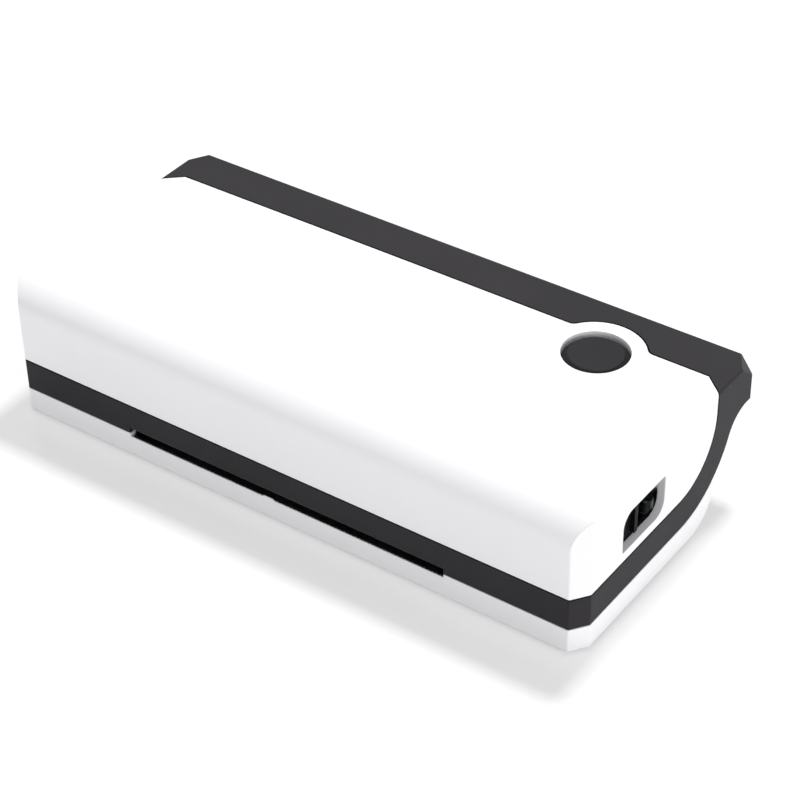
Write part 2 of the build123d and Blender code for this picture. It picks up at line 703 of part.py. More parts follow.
# Lid: two brackets that the latch bar slides through
bracket_depths = (LATCH_BRACKET_FRONT, LATCH_BRACKET_FRONT + LATCH_BRACKET_LENGTH)
slide_depths = (bar_depths[0] - RUNNING_CLEARANCE, bar_depths[1] + LATCH_TRAVEL + RUNNING_CLEARANCE)
slide_heights = (LATCH_BAR_BOTTOM - RUNNING_CLEARANCE, bar_top + RUNNING_CLEARANCE)
for side_name, side in SIDES:
    bracket_x = side * LATCH_BRACKET_X
    bracket_span = (bracket_x - LATCH_BRACKET_THICKNESS / 2, bracket_x + LATCH_BRACKET_THICKNESS / 2)
    with BuildPart() as latch_bracket:
        block(bracket_span, bracket_depths, (LATCH_BRACKET_BOTTOM, HEIGHT))
        add(inner, mode=Mode.INTERSECT)
        block(bracket_span, slide_depths, slide_heights, Mode.SUBTRACT)
    save(latch_bracket, f"latch_bracket_{side_name}")

# Print head: a ceramic strip over the platen under its heat sink, on two guide pins
head_bottom = PLATEN_HEIGHT + PLATEN_RADIUS + NIP_GAP
head_top = head_bottom + HEAD_PLATE
sink_top = head_top + HEAT_SINK_HEIGHT
carrier_bottom = sink_top + HEAD_SPRING_LENGTH
head_depth = HEAD_FRONT + HEAD_WIDTH / 2
head_span = (-HEAD_LENGTH / 2, HEAD_LENGTH / 2)
head_depths = (HEAD_FRONT, HEAD_FRONT + HEAD_WIDTH)
guide_pin_bottom = sink_top - HEAD_GUIDE_DIP
with BuildPart() as print_head:
    block(head_span, head_depths, (head_bottom, head_top))
save(print_head, "print_head")

with BuildPart() as heat_sink:
    block(head_span, head_depths, (head_top, sink_top))
    for pin_x in (-HEAD_GUIDE_X, HEAD_GUIDE_X):
        bore_heights = (guide_pin_bottom - HEAD_TRAVEL, sink_top)
        bore_radius = HEAD_GUIDE_RADIUS + HEAD_GUIDE_CLEARANCE
        post(pin_x, head_depth, bore_heights, bore_radius, Mode.SUBTRACT)
save(heat_sink, "heat_sink")

# Lid: the carrier above the head, with two webs up to the cover, the pins and three springs
carrier_top = carrier_bottom + CARRIER_THICKNESS
carrier_front = HEAD_FRONT - CARRIER_SETBACK
web_depths = (head_depth - CARRIER_WEB_WIDTH / 2, head_depth + CARRIER_WEB_WIDTH / 2)
with BuildPart() as head_carrier:
    for web_x in (-CARRIER_WEB_X, CARRIER_WEB_X):
        web_span = (web_x - CARRIER_WEB_THICKNESS / 2, web_x + CARRIER_WEB_THICKNESS / 2)
        block(web_span, web_depths, (carrier_top, HEIGHT))
    add(inner, mode=Mode.INTERSECT)
    carrier_span = (-CARRIER_LENGTH / 2, CARRIER_LENGTH / 2)
    block(carrier_span, (carrier_front, carrier_front + CARRIER_WIDTH), (carrier_bottom, carrier_top))
    for pin_x in (-HEAD_GUIDE_X, HEAD_GUIDE_X):
        post(pin_x, head_depth, (guide_pin_bottom, carrier_bottom), HEAD_GUIDE_RADIUS)
save(head_carrier, "head_carrier")

head_spring_xs = ("left", -HEAD_SPRING_X), ("middle", 0), ("right", HEAD_SPRING_X)
for place, spring_x in head_spring_xs:
    head_spring = spring_coil(
        HEAD_SPRING_RADIUS, HEAD_SPRING_LENGTH, HEAD_SPRING_TURNS, spring_x, head_depth, sink_top
    )
    save(head_spring, f"head_spring_{place}")

# Base: white tray with the rear wall, hinge ears, lips, latch catches and port openings
wall_front = BASE_REAR - WALL
ear_outer = ear_low + LID_EAR_THICKNESS + HINGE_EAR_GAP
root_turn = radians(HINGE_EAR_ROOT_TURN)
ear_root = (
    (hinge[0] - HINGE_EAR_RADIUS, hinge[1]), (from_front(wall_front), hinge[1] - HINGE_EAR_ROOT),
    (from_front(BASE_REAR), hinge[1] - HINGE_EAR_ROOT),
    (hinge[0] + HINGE_EAR_RADIUS * cos(root_turn), hinge[1] - HINGE_EAR_RADIUS * sin(root_turn)), hinge,
)
lip_top = BAND_BOTTOM + LIP_HEIGHT
lip_foot = BAND_BOTTOM - PARTING_GAP
lip_low = lip_foot - LIP_HEIGHT
catch_bottom = nose_top + RUNNING_CLEARANCE
catch_front = nose_rear + CATCH_FRONT_GAP
usb_span = (USB_X - USB_WIDTH / 2, USB_X + USB_WIDTH / 2)
jack_span = (JACK_X - JACK_WIDTH / 2, JACK_X + JACK_WIDTH / 2)
switch_span = (SWITCH_X - SWITCH_WIDTH / 2, SWITCH_X + SWITCH_WIDTH / 2)
port_rows = (
    (usb_span, (BOARD_TOP, BOARD_TOP + USB_HEIGHT)), (jack_span, (BOARD_TOP, BOARD_TOP + JACK_HEIGHT)),
    (switch_span, (SWITCH_BOTTOM, SWITCH_BOTTOM + SWITCH_HEIGHT)),
)
screw_spots = (
    ("front_left", -SCREW_X, SCREW_FRONT_LEFT), ("front_right", SCREW_X, SCREW_FRONT_RIGHT),
    ("rear_left", -SCREW_X, SCREW_REAR), ("rear_right", SCREW_X, SCREW_REAR),
)
foot_spots = [
    (f"{row}_{name}", side * FOOT_X, depth)
    for row, depth in (("front", FOOT_FRONT), ("rear", FOOT_REAR))
    for name, side in SIDES
]
with BuildPart() as base_tray:
    add(base_form(0))
    add(base_form(WALL), mode=Mode.SUBTRACT)
    add(prism(lid_region(PARTING_GAP)), mode=Mode.SUBTRACT)
    block((-REAR_WALL_HALF, REAR_WALL_HALF), (wall_front, BASE_REAR), (REAR_WALL_FOOT, REAR_WALL_TOP))
    entry_half = MEDIA_ENTRY_LENGTH / 2
    entry_depths = (wall_front - OVERSHOOT, BASE_REAR + OVERSHOOT)
    block((-entry_half, entry_half), entry_depths, (MEDIA_ENTRY_BOTTOM, HEIGHT), Mode.SUBTRACT)
    for _, side in SIDES:
        notch = (side * (ear_low - HINGE_EAR_GAP), side * ear_outer)
        notch_bottom = hinge[1] - HINGE_EAR_RADIUS - RUNNING_CLEARANCE
        block(notch, entry_depths, (notch_bottom, HEIGHT), Mode.SUBTRACT)
        lip_outer, lip_inner = SIDE_INNER, SIDE_INNER - LIP_INSET - LIP_THICKNESS
        lip_depths = (LIP_DEPTH - LIP_LENGTH / 2, LIP_DEPTH + LIP_LENGTH / 2)
        block((side * lip_inner, side * lip_outer), lip_depths, (lip_low, lip_foot))
        block((side * lip_inner, side * (lip_outer - LIP_INSET)), lip_depths, (lip_foot, lip_top))
        front_start = SLOT_LENGTH / 2 + FRONT_LIP_SETBACK
        front_span = (side * front_start, side * (front_start + FRONT_LIP_LENGTH))
        front_lip = WALL + LIP_INSET + LIP_THICKNESS
        block(front_span, (WALL, front_lip), (lip_low, lip_foot))
        block(front_span, (WALL + LIP_INSET, front_lip), (lip_foot, lip_top))
        catch_span = (side * (bar_half - LATCH_HOOK_THICKNESS - RUNNING_CLEARANCE), side * REAR_WALL_HALF)
        catch_depths = (catch_front, catch_front + CATCH_LENGTH)
        post_depths = (catch_depths[1] - CATCH_POST, catch_depths[1])
        block(catch_span, catch_depths, (catch_bottom, catch_bottom + CATCH_THICKNESS))
        block(catch_span, post_depths, (FLOOR_TOP, catch_bottom))
    for _, x, depth in screw_spots:
        post(x, depth, (FLOOR_TOP, BOSS_TOP), BOSS_RADIUS)
    for span, heights in port_rows:
        block(span, entry_depths, heights, Mode.SUBTRACT)
    slot_half = SLOT_LENGTH / 2
    sill = SLOT_BOTTOM - TEAR_BAR_THICKNESS
    block((-slot_half, slot_half), (-OVERSHOOT, SLOT_REACH), (sill, BAND_TOP), Mode.SUBTRACT)
    for _, x, depth in screw_spots:
        post(x, depth, (0, FLOOR_BOTTOM + SCREW_HEAD_HEIGHT), SCREW_HEAD_RADIUS, Mode.SUBTRACT)
        post(x, depth, (0, FLOOR_BOTTOM + SCREW_LENGTH), SCREW_RADIUS, Mode.SUBTRACT)
    for _, x, depth in foot_spots:
        post(x, depth, (0, FOOT_THICKNESS), FOOT_RADIUS, Mode.SUBTRACT)
    for _, side in SIDES:
        for ear_start in (HINGE_EAR_INNER, ear_outer):
            low_x = min(side * ear_start, side * (ear_start + HINGE_EAR_THICKNESS))
            with BuildSketch(yz_plane(low_x)):
                with Locations(hinge):
                    Circle(HINGE_EAR_RADIUS)
                with BuildLine():
                    Polyline(*ear_root, close=True)
                make_face()
                with Locations(hinge):
                    Circle(HINGE_PIN_RADIUS, mode=Mode.SUBTRACT)
            extrude(amount=HINGE_EAR_THICKNESS)
        pin_end = side * (ear_outer + HINGE_EAR_THICKNESS)
        rod((side * HINGE_EAR_INNER, pin_end), hinge, HINGE_PIN_RADIUS, Mode.SUBTRACT)
        head_room = side * (HINGE_EAR_INNER - HINGE_PIN_HEAD - RUNNING_CLEARANCE)
        room_radius = HINGE_PIN_HEAD_RADIUS + RUNNING_CLEARANCE
        rod((head_room, side * HINGE_EAR_INNER), hinge, room_radius, Mode.SUBTRACT)
save(base_tray, "base_tray")

# Base: feet, screws and hinge pins
for name, x, depth in foot_spots:
    with BuildPart() as foot:
        post(x, depth, (0, FOOT_THICKNESS), FOOT_RADIUS)
    save(foot, f"foot_{name}")
for name, x, depth in screw_spots:
    with BuildPart() as screw:
        post(x, depth, (FLOOR_BOTTOM, FLOOR_BOTTOM + SCREW_HEAD_HEIGHT), SCREW_HEAD_RADIUS)
        post(x, depth, (FLOOR_BOTTOM, FLOOR_BOTTOM + SCREW_LENGTH), SCREW_RADIUS)
    save(screw, f"screw_{name}")
for side_name, side in SIDES:
    with BuildPart() as hinge_pin:
        pin_end = side * (ear_outer + HINGE_EAR_THICKNESS)
        rod((side * HINGE_EAR_INNER, pin_end), hinge, HINGE_PIN_RADIUS)
        head_end = side * (HINGE_EAR_INNER - HINGE_PIN_HEAD)
        rod((head_end, side * HINGE_EAR_INNER), hinge, HINGE_PIN_HEAD_RADIUS)
    save(hinge_pin, f"hinge_pin_{side_name}")

# Base: chassis with side plates, the label deck, its rear ramp and the guides' pinion pin
platen = side_point(PLATEN_DEPTH, PLATEN_HEIGHT)
deck_bottom = DECK_TOP - DECK_THICKNESS
rack_top = deck_bottom - RUNNING_CLEARANCE
rack_bottom = rack_top - RACK_THICKNESS
ramp_rear = wall_front - RUNNING_CLEARANCE
ramp = (
    side_point(DECK_REAR, deck_bottom), side_point(ramp_rear, deck_bottom + RAMP_RISE - DECK_THICKNESS / 2),
    side_point(ramp_rear, DECK_TOP + RAMP_RISE), side_point(DECK_REAR - DECK_THICKNESS, DECK_TOP),
)
guide_pitch = GUIDE_MODULE * GUIDE_TEETH / 2
stem_depth = GUIDE_DEPTH + guide_pitch + DEDENDUM * GUIDE_MODULE + RACK_BACK / 2
stem_offset = stem_depth - GUIDE_DEPTH
sensor_span = (GAP_SENSOR_X - GAP_SENSOR_SIZE / 2, GAP_SENSOR_X + GAP_SENSOR_SIZE / 2)
sensor_depths = (GAP_SENSOR_DEPTH - GAP_SENSOR_SIZE / 2, GAP_SENSOR_DEPTH + GAP_SENSOR_SIZE / 2)
with BuildPart() as chassis_frame:
    for _, side in SIDES:
        plate_span = (side * SIDE_PLATE_X, side * (SIDE_PLATE_X + SIDE_PLATE_THICKNESS))
        block(plate_span, (SIDE_PLATE_FRONT, DECK_REAR), (FLOOR_TOP, DECK_TOP))
        rod(plate_span, platen, BUSH_RADIUS, Mode.SUBTRACT)
    block((-SIDE_PLATE_X, SIDE_PLATE_X), (DECK_FRONT, DECK_REAR), (deck_bottom, DECK_TOP))
    with BuildSketch(yz_plane(-SIDE_PLATE_X)):
        with BuildLine():
            Polyline(*ramp, close=True)
        make_face()
    extrude(amount=2 * SIDE_PLATE_X)
    for _, side in SIDES:
        reach = GUIDE_THICKNESS / 2 + RUNNING_CLEARANCE
        slot_span = (side * (GUIDE_REST_X + reach), side * (GUIDE_REST_X - GUIDE_TRAVEL - reach))
        half_slot = GUIDE_STEM_LENGTH / 2 + RUNNING_CLEARANCE
        centre = GUIDE_DEPTH + side * stem_offset
        block(slot_span, (centre - half_slot, centre + half_slot), (deck_bottom, DECK_TOP), Mode.SUBTRACT)
    block(sensor_span, sensor_depths, (deck_bottom, DECK_TOP), Mode.SUBTRACT)
    pin_bottom = rack_bottom - RUNNING_CLEARANCE
    post(0, GUIDE_DEPTH, (pin_bottom, deck_bottom), GUIDE_PIN_RADIUS)
    post(0, GUIDE_DEPTH, (pin_bottom - GUIDE_PIN_HEAD, pin_bottom), GUIDE_PIN_HEAD_RADIUS)
save(chassis_frame, "chassis_frame")

with BuildPart() as tear_bar:
    bar_reach = (TEAR_BAR_SETBACK, TEAR_BAR_SETBACK + TEAR_BAR_REACH)
    block((-TEAR_BAR_LENGTH / 2, TEAR_BAR_LENGTH / 2), bar_reach, (sill, SLOT_BOTTOM))
save(tear_bar, "tear_bar")

with BuildPart() as gap_sensor:
    block(sensor_span, sensor_depths, (deck_bottom - DECK_THICKNESS, DECK_TOP - RUNNING_CLEARANCE))
save(gap_sensor, "gap_sensor")

for side_name, side in SIDES:
    with BuildPart() as platen_bush:
        flange_end = side * (SIDE_PLATE_X + SIDE_PLATE_THICKNESS + BUSH_FLANGE)
        rod((side * SIDE_PLATE_X, flange_end), platen, BUSH_RADIUS)
        rod((side * (SIDE_PLATE_X + SIDE_PLATE_THICKNESS), flange_end), platen, BUSH_FLANGE_RADIUS)
        bore = PLATEN_SHAFT_RADIUS + SEAT_CLEARANCE
        rod((side * SIDE_PLATE_X, flange_end), platen, bore, Mode.SUBTRACT)
    save(platen_bush, f"platen_bush_{side_name}")

# Feed train: platen roller, idler and motor
idler_run = sqrt((GEAR_MODULE * (PLATEN_TEETH + IDLER_TEETH) / 2) ** 2 - IDLER_RISE**2)
motor_run = sqrt((GEAR_MODULE * (IDLER_TEETH + PINION_TEETH) / 2) ** 2 - MOTOR_RISE**2)
idler_centre = (platen[0] + idler_run, platen[1] + IDLER_RISE)
motor_centre = (idler_centre[0] + motor_run, idler_centre[1] + MOTOR_RISE)
platen_phase = degrees(atan2(IDLER_RISE, idler_run))
motor_line = degrees(atan2(MOTOR_RISE, motor_run))
idler_phase = platen_phase + 180 + 180 / IDLER_TEETH
idler_lead = (motor_line - idler_phase) % (360 / IDLER_TEETH)
pinion_phase = motor_line + 180 + idler_lead * IDLER_TEETH / PINION_TEETH + 180 / PINION_TEETH
gear_right = GEAR_LEFT + GEAR_WIDTH

with BuildPart() as platen_shaft:
    rod((PLATEN_SHAFT_LEFT, PLATEN_SHAFT_RIGHT), platen, PLATEN_SHAFT_RADIUS)
save(platen_shaft, "platen_shaft")

with BuildPart() as platen_rubber:
    rod((-PLATEN_LENGTH / 2, PLATEN_LENGTH / 2), platen, PLATEN_RADIUS)
    rod((-PLATEN_LENGTH / 2, PLATEN_LENGTH / 2), platen, PLATEN_SHAFT_RADIUS, Mode.SUBTRACT)
save(platen_rubber, "platen_rubber")

platen_gear = gear(PLATEN_TEETH, platen_phase, platen, PLATEN_SHAFT_RADIUS)
save(platen_gear, "platen_gear")
idler_gear = gear(IDLER_TEETH, idler_phase, idler_centre, IDLER_AXLE_RADIUS + SEAT_CLEARANCE)
save(idler_gear, "idler_gear")
motor_pinion = gear(PINION_TEETH, pinion_phase, motor_centre, MOTOR_SHAFT_RADIUS)
save(motor_pinion, "motor_pinion")

plate_right = MOTOR_PLATE_LEFT + MOTOR_PLATE_THICKNESS
with BuildPart() as motor_shaft:
    rod((MOTOR_PLATE_LEFT - MOTOR_SHAFT_DEPTH, gear_right), motor_centre, MOTOR_SHAFT_RADIUS)
save(motor_shaft, "motor_shaft")

with BuildPart() as idler_axle:
    rod((plate_right, gear_right + RUNNING_CLEARANCE), idler_centre, IDLER_AXLE_RADIUS)
    head_start = gear_right + RUNNING_CLEARANCE
    rod((head_start, head_start + IDLER_AXLE_HEAD), idler_centre, IDLER_AXLE_HEAD_RADIUS)
save(idler_axle, "idler_axle")

with BuildPart() as motor_body:
    rod((MOTOR_PLATE_LEFT - MOTOR_LENGTH, MOTOR_PLATE_LEFT), motor_centre, MOTOR_RADIUS)
    rod((MOTOR_PLATE_LEFT, plate_right), motor_centre, MOTOR_BOSS_RADIUS)
    bore = MOTOR_SHAFT_RADIUS + SEAT_CLEARANCE
    rod((MOTOR_PLATE_LEFT - MOTOR_SHAFT_DEPTH, plate_right), motor_centre, bore, Mode.SUBTRACT)
save(motor_body, "motor_body")

plate_depths = (MOTOR_PLATE_FRONT, MOTOR_PLATE_FRONT + MOTOR_PLATE_LENGTH)
with BuildPart() as motor_bracket:
    block((MOTOR_PLATE_LEFT, plate_right), plate_depths, (FLOOR_TOP, MOTOR_PLATE_TOP))
    foot_top = FLOOR_TOP + MOTOR_PLATE_THICKNESS
    block((plate_right, plate_right + MOTOR_PLATE_FOOT), plate_depths, (FLOOR_TOP, foot_top))
    rod((MOTOR_PLATE_LEFT, plate_right), motor_centre, MOTOR_BOSS_RADIUS + RUNNING_CLEARANCE, Mode.SUBTRACT)
save(motor_bracket, "motor_bracket")

# Label guides: two fences whose racks meet one pinion under the deck
rest_overlap = GUIDE_REST_X + GUIDE_THICKNESS / 2
tooth_pitch = pi * GUIDE_MODULE
tooth_low = tooth_pitch / 4 + DEDENDUM * GUIDE_MODULE * tan(radians(PRESSURE_ANGLE)) - BACKLASH / 2
tooth_high = tooth_pitch / 4 - ADDENDUM * GUIDE_MODULE * tan(radians(PRESSURE_ANGLE)) - BACKLASH / 2
tooth_count = int((GUIDE_TRAVEL + 2 * RACK_OVERRUN) / tooth_pitch)
root_line = guide_pitch + DEDENDUM * GUIDE_MODULE
tip_line = guide_pitch - ADDENDUM * GUIDE_MODULE
for side_name, side in SIDES:
    with BuildPart() as guide:
        rack_span = (-side * RACK_OVERRUN, side * rest_overlap)
        with BuildSketch(Plane.XY.offset(rack_bottom)):
            for tooth in range(tooth_count):
                middle = side * (tooth_pitch * (tooth - 0.5))
                with BuildLine():
                    Polyline(
                        (middle - tooth_low, from_front(GUIDE_DEPTH + side * root_line)),
                        (middle - tooth_high, from_front(GUIDE_DEPTH + side * tip_line)),
                        (middle + tooth_high, from_front(GUIDE_DEPTH + side * tip_line)),
                        (middle + tooth_low, from_front(GUIDE_DEPTH + side * root_line)), close=True,
                    )
                make_face()
        extrude(amount=RACK_THICKNESS)
        rack_depths = sorted((GUIDE_DEPTH + side * root_line, GUIDE_DEPTH + side * (root_line + RACK_BACK)))
        block(rack_span, rack_depths, (rack_bottom, rack_top))
        fence_span = (side * (GUIDE_REST_X - GUIDE_THICKNESS / 2), side * rest_overlap)
        centre = GUIDE_DEPTH + side * stem_offset
        stem_depths = (centre - GUIDE_STEM_LENGTH / 2, centre + GUIDE_STEM_LENGTH / 2)
        fence_bottom = DECK_TOP + RUNNING_CLEARANCE
        block(fence_span, stem_depths, (rack_bottom, fence_bottom))
        fence_depths = (GUIDE_DEPTH - GUIDE_LENGTH / 2, GUIDE_DEPTH + GUIDE_LENGTH / 2)
        block(fence_span, fence_depths, (fence_bottom, fence_bottom + GUIDE_HEIGHT))
    save(guide, f"guide_{side_name}")

with BuildPart() as guide_pinion:
    with BuildSketch(Plane.XY.offset(rack_bottom)):
        with Locations((0, from_front(GUIDE_DEPTH))):
            Polygon(*gear_outline(GUIDE_TEETH, GUIDE_MODULE, 90), align=None)
            Circle(GUIDE_PIN_RADIUS + SEAT_CLEARANCE, mode=Mode.SUBTRACT)
    extrude(amount=RACK_THICKNESS)
save(guide_pinion, "guide_pinion")

# Base: main board with the ports on it, and the power switch
port_depths = (BASE_REAR - PORT_SETBACK - PORT_LENGTH, BASE_REAR - PORT_SETBACK)
port_middle = BOARD_TOP + JACK_HEIGHT / 2
with BuildPart() as main_board:
    board_span = (BOARD_LEFT, BOARD_LEFT + BOARD_WIDTH)
    block(board_span, (BOARD_FRONT, BOARD_FRONT + BOARD_LENGTH), (BOSS_TOP, BOARD_TOP))
save(main_board, "main_board")

with BuildPart() as usb_port:
    block(usb_span, port_depths, (BOARD_TOP, BOARD_TOP + USB_HEIGHT))
    pocket_span = (usb_span[0] + PORT_WALL, usb_span[1] - PORT_WALL)
    pocket_heights = (BOARD_TOP + PORT_WALL, BOARD_TOP + USB_HEIGHT - PORT_WALL)
    block(pocket_span, (port_depths[1] - USB_POCKET, port_depths[1]), pocket_heights, Mode.SUBTRACT)
save(usb_port, "usb_port")

with BuildPart() as power_jack:
    block(jack_span, port_depths, (BOARD_TOP, BOARD_TOP + JACK_HEIGHT))
    with Locations(Location((JACK_X, from_front(port_depths[1]), port_middle), (-90, 0, 0))):
        Hole(JACK_BORE, USB_POCKET)
save(power_jack, "power_jack")

switch_top = SWITCH_BOTTOM + SWITCH_HEIGHT
switch_middle = SWITCH_BOTTOM + SWITCH_HEIGHT / 2
switch_rear = BASE_REAR + RUNNING_CLEARANCE
key_rear = switch_rear - SWITCH_PIVOT_DEPTH
pocket_half = hypot(SWITCH_KEY_HALF, key_rear) + RUNNING_CLEARANCE / 2
key_heights = (switch_middle - SWITCH_KEY_HEIGHT / 2, switch_middle + SWITCH_KEY_HEIGHT / 2)
with BuildPart() as power_switch_body:
    body_depths = (switch_rear - SWITCH_BODY_LENGTH, switch_rear)
    block(switch_span, body_depths, (SWITCH_BOTTOM, switch_top))
    pocket_span = (SWITCH_X - pocket_half, SWITCH_X + pocket_half)
    pocket_heights = (key_heights[0] - RUNNING_CLEARANCE, key_heights[1] + RUNNING_CLEARANCE)
    pocket_depths = (SWITCH_PIVOT_DEPTH - key_rear + RUNNING_CLEARANCE, switch_rear)
    block(pocket_span, pocket_depths, pocket_heights, Mode.SUBTRACT)
    pin_hole = SWITCH_PIN_RADIUS + SEAT_CLEARANCE
    post(SWITCH_X, SWITCH_PIVOT_DEPTH, (SWITCH_BOTTOM, switch_top), pin_hole, Mode.SUBTRACT)
save(power_switch_body, "power_switch_body")

key_notch, key_heel = key_rear / 2, -key_rear / 3
heel_half = SWITCH_KEY_HALF * SWITCH_KEY_HEEL_SHARE
with BuildPart() as power_switch_key:
    pivot = Plane(origin=(SWITCH_X, from_front(SWITCH_PIVOT_DEPTH), key_heights[0]))
    with BuildSketch(pivot.rotated((0, 0, -SWITCH_ROCK))):
        with BuildLine():
            Polyline(
                (-SWITCH_KEY_HALF, key_rear), (0, key_notch), (SWITCH_KEY_HALF, key_rear),
                (heel_half, key_heel), (-heel_half, key_heel), close=True,
            )
        make_face()
    extrude(amount=SWITCH_KEY_HEIGHT)
    post(SWITCH_X, SWITCH_PIVOT_DEPTH, (SWITCH_BOTTOM, switch_top), SWITCH_PIN_RADIUS)
save(power_switch_key, "power_switch_key")
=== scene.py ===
"""Looks of the desktop label printer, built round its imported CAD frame.

Every length is in metres in the CAD frame: +X to the printer's right, +Y to its rear, +Z up from the desk.
"""

import math

import bmesh
import bpy
from mathutils import Matrix, Vector


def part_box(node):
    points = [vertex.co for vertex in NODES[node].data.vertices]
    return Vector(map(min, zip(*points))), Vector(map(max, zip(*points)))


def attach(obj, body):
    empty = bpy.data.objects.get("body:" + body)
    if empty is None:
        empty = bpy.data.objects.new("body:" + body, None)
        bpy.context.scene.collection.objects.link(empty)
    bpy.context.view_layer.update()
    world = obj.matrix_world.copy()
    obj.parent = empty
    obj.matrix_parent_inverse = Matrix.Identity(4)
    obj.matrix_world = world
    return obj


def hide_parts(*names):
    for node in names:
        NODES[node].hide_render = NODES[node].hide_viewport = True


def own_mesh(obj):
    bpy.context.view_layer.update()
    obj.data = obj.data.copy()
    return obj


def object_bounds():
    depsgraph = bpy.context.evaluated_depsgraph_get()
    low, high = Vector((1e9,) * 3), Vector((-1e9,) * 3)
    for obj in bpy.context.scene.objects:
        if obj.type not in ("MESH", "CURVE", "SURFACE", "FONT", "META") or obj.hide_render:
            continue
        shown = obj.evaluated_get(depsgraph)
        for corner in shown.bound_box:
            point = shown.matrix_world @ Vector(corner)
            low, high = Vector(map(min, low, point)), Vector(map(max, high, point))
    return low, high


MM = 0.001
X_AXIS, Y_AXIS, Z_AXIS = (1, 0, 0), (0, 1, 0), (0, 0, 1)
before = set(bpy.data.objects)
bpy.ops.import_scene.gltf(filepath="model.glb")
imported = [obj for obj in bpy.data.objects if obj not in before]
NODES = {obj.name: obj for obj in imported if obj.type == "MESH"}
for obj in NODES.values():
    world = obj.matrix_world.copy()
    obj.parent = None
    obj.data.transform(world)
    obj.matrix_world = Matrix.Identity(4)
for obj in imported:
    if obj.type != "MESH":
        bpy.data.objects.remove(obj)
cad_low, cad_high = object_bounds()

# Colours, linear
WHITE = (0.86, 0.855, 0.875)
TRIM = (0.029, 0.027, 0.0295)
BUTTON = (0.023, 0.0215, 0.0235)
LATCH = (0.0065, 0.0062, 0.0068)
BLACK = (0.008, 0.008, 0.009)
NATURAL = (0.60, 0.60, 0.57)
RUBBER = (0.018, 0.018, 0.018)
DUST = (0.12, 0.12, 0.115)
STEEL = (0.56, 0.57, 0.58)
BLACKENED = (0.045, 0.045, 0.05)
CAN = (0.50, 0.51, 0.52)
ALUMINIUM = (0.66, 0.67, 0.69)
CERAMIC = (0.80, 0.77, 0.70)
HEATER = (0.10, 0.07, 0.05)
BOARD = (0.012, 0.105, 0.042)
EPOXY = (0.02, 0.02, 0.021)
TIN = (0.62, 0.63, 0.64)
GOLD = (0.80, 0.58, 0.22)
# The slot lip's colour is a painted highlight: the band's dark plastic lightened for the light its lower edge
# catches
LIP_HIGHLIGHT = (0.06, 0.058, 0.062)
FLOOR_DARK, FLOOR_LIGHT = (0.86, 0.86, 0.865), (0.88, 0.88, 0.885)

# Noise: features per metre, and levels of detail
DRIFT_SCALE, DRIFT_DETAIL = 35.0, 4.0
FLECK_SCALE, FLECK_DETAIL = 2600.0, 2.0
SHEEN_SCALE, SHEEN_DETAIL = 45.0, 2.0
GRAIN_DETAIL = 2.0
LAY_DETAIL = 3.0
MARK_SCALE, MARK_DETAIL = 220.0, 5.0
NAP_SCALE, NAP_DETAIL = 3800.0, 4.0
DUST_SCALE, DUST_DETAIL = 150.0, 5.0
BOARD_SCALE, BOARD_DETAIL = 60.0, 3.0
FLOOR_SCALE, FLOOR_DETAIL = 6.0, 3.0

# Moulded plastic: how much its flecks, edges and sheen differ from the rest
FLECK_START, FLECK_END, FLECK_GAIN = 0.5, 0.75, 1.35
POLISH_GAIN, POLISH_LIFT = 1.2, 0.03
SHEEN_DROP, SHEEN_RISE = 0.01, 0.015
GRAIN_STRENGTH = 0.35
COAT_ROUGHNESS = 0.12
EDGE_SAMPLES = 4
EDGE_TURNED, EDGE_FLAT = 0.80, 0.99

# Metal: contrast of the lay and of the handling marks, and the edge in millimetres
METAL_EDGE = 0.15
LAY_DARK, LAY_LIGHT, LAY_STRENGTH = 0.88, 1.08, 0.35
MARK_DROP, MARK_RISE = 0.06, 0.1

# Circuit board: runs of copper under the mask, and dots of bare plating
RUN_OFFSET, RUN_SQUASH = 0.37, 1.4
RUN_SCALE, RUN_MORTAR, RUN_WIDTH, RUN_HEIGHT = 420.0, 0.09, 1.9, 0.42
RUN_GAIN, RUN_RELIEF, RUN_STRENGTH = 1.55, 0.02, 0.5
DOT_SCALE, DOT_START, DOT_END, DOT_GAIN = 480.0, 0.10, 0.14, 0.7
MASK_ROUGH_LOW, MASK_ROUGH_HIGH = 0.22, 0.34
MASK_COAT, MASK_COAT_ROUGHNESS = 0.4, 0.15

# Rubber: nap and dust, with the relief and the edge in millimetres
NAP_DARK, NAP_LIGHT = 0.8, 1.6
NAP_ROUGH_LOW, NAP_ROUGH_HIGH = 0.7, 0.88
NAP_RELIEF, NAP_STRENGTH, RUBBER_EDGE = 0.03, 0.6, 0.2
DUST_SHARE, DUST_START, DUST_END = 0.15, 0.5, 0.8


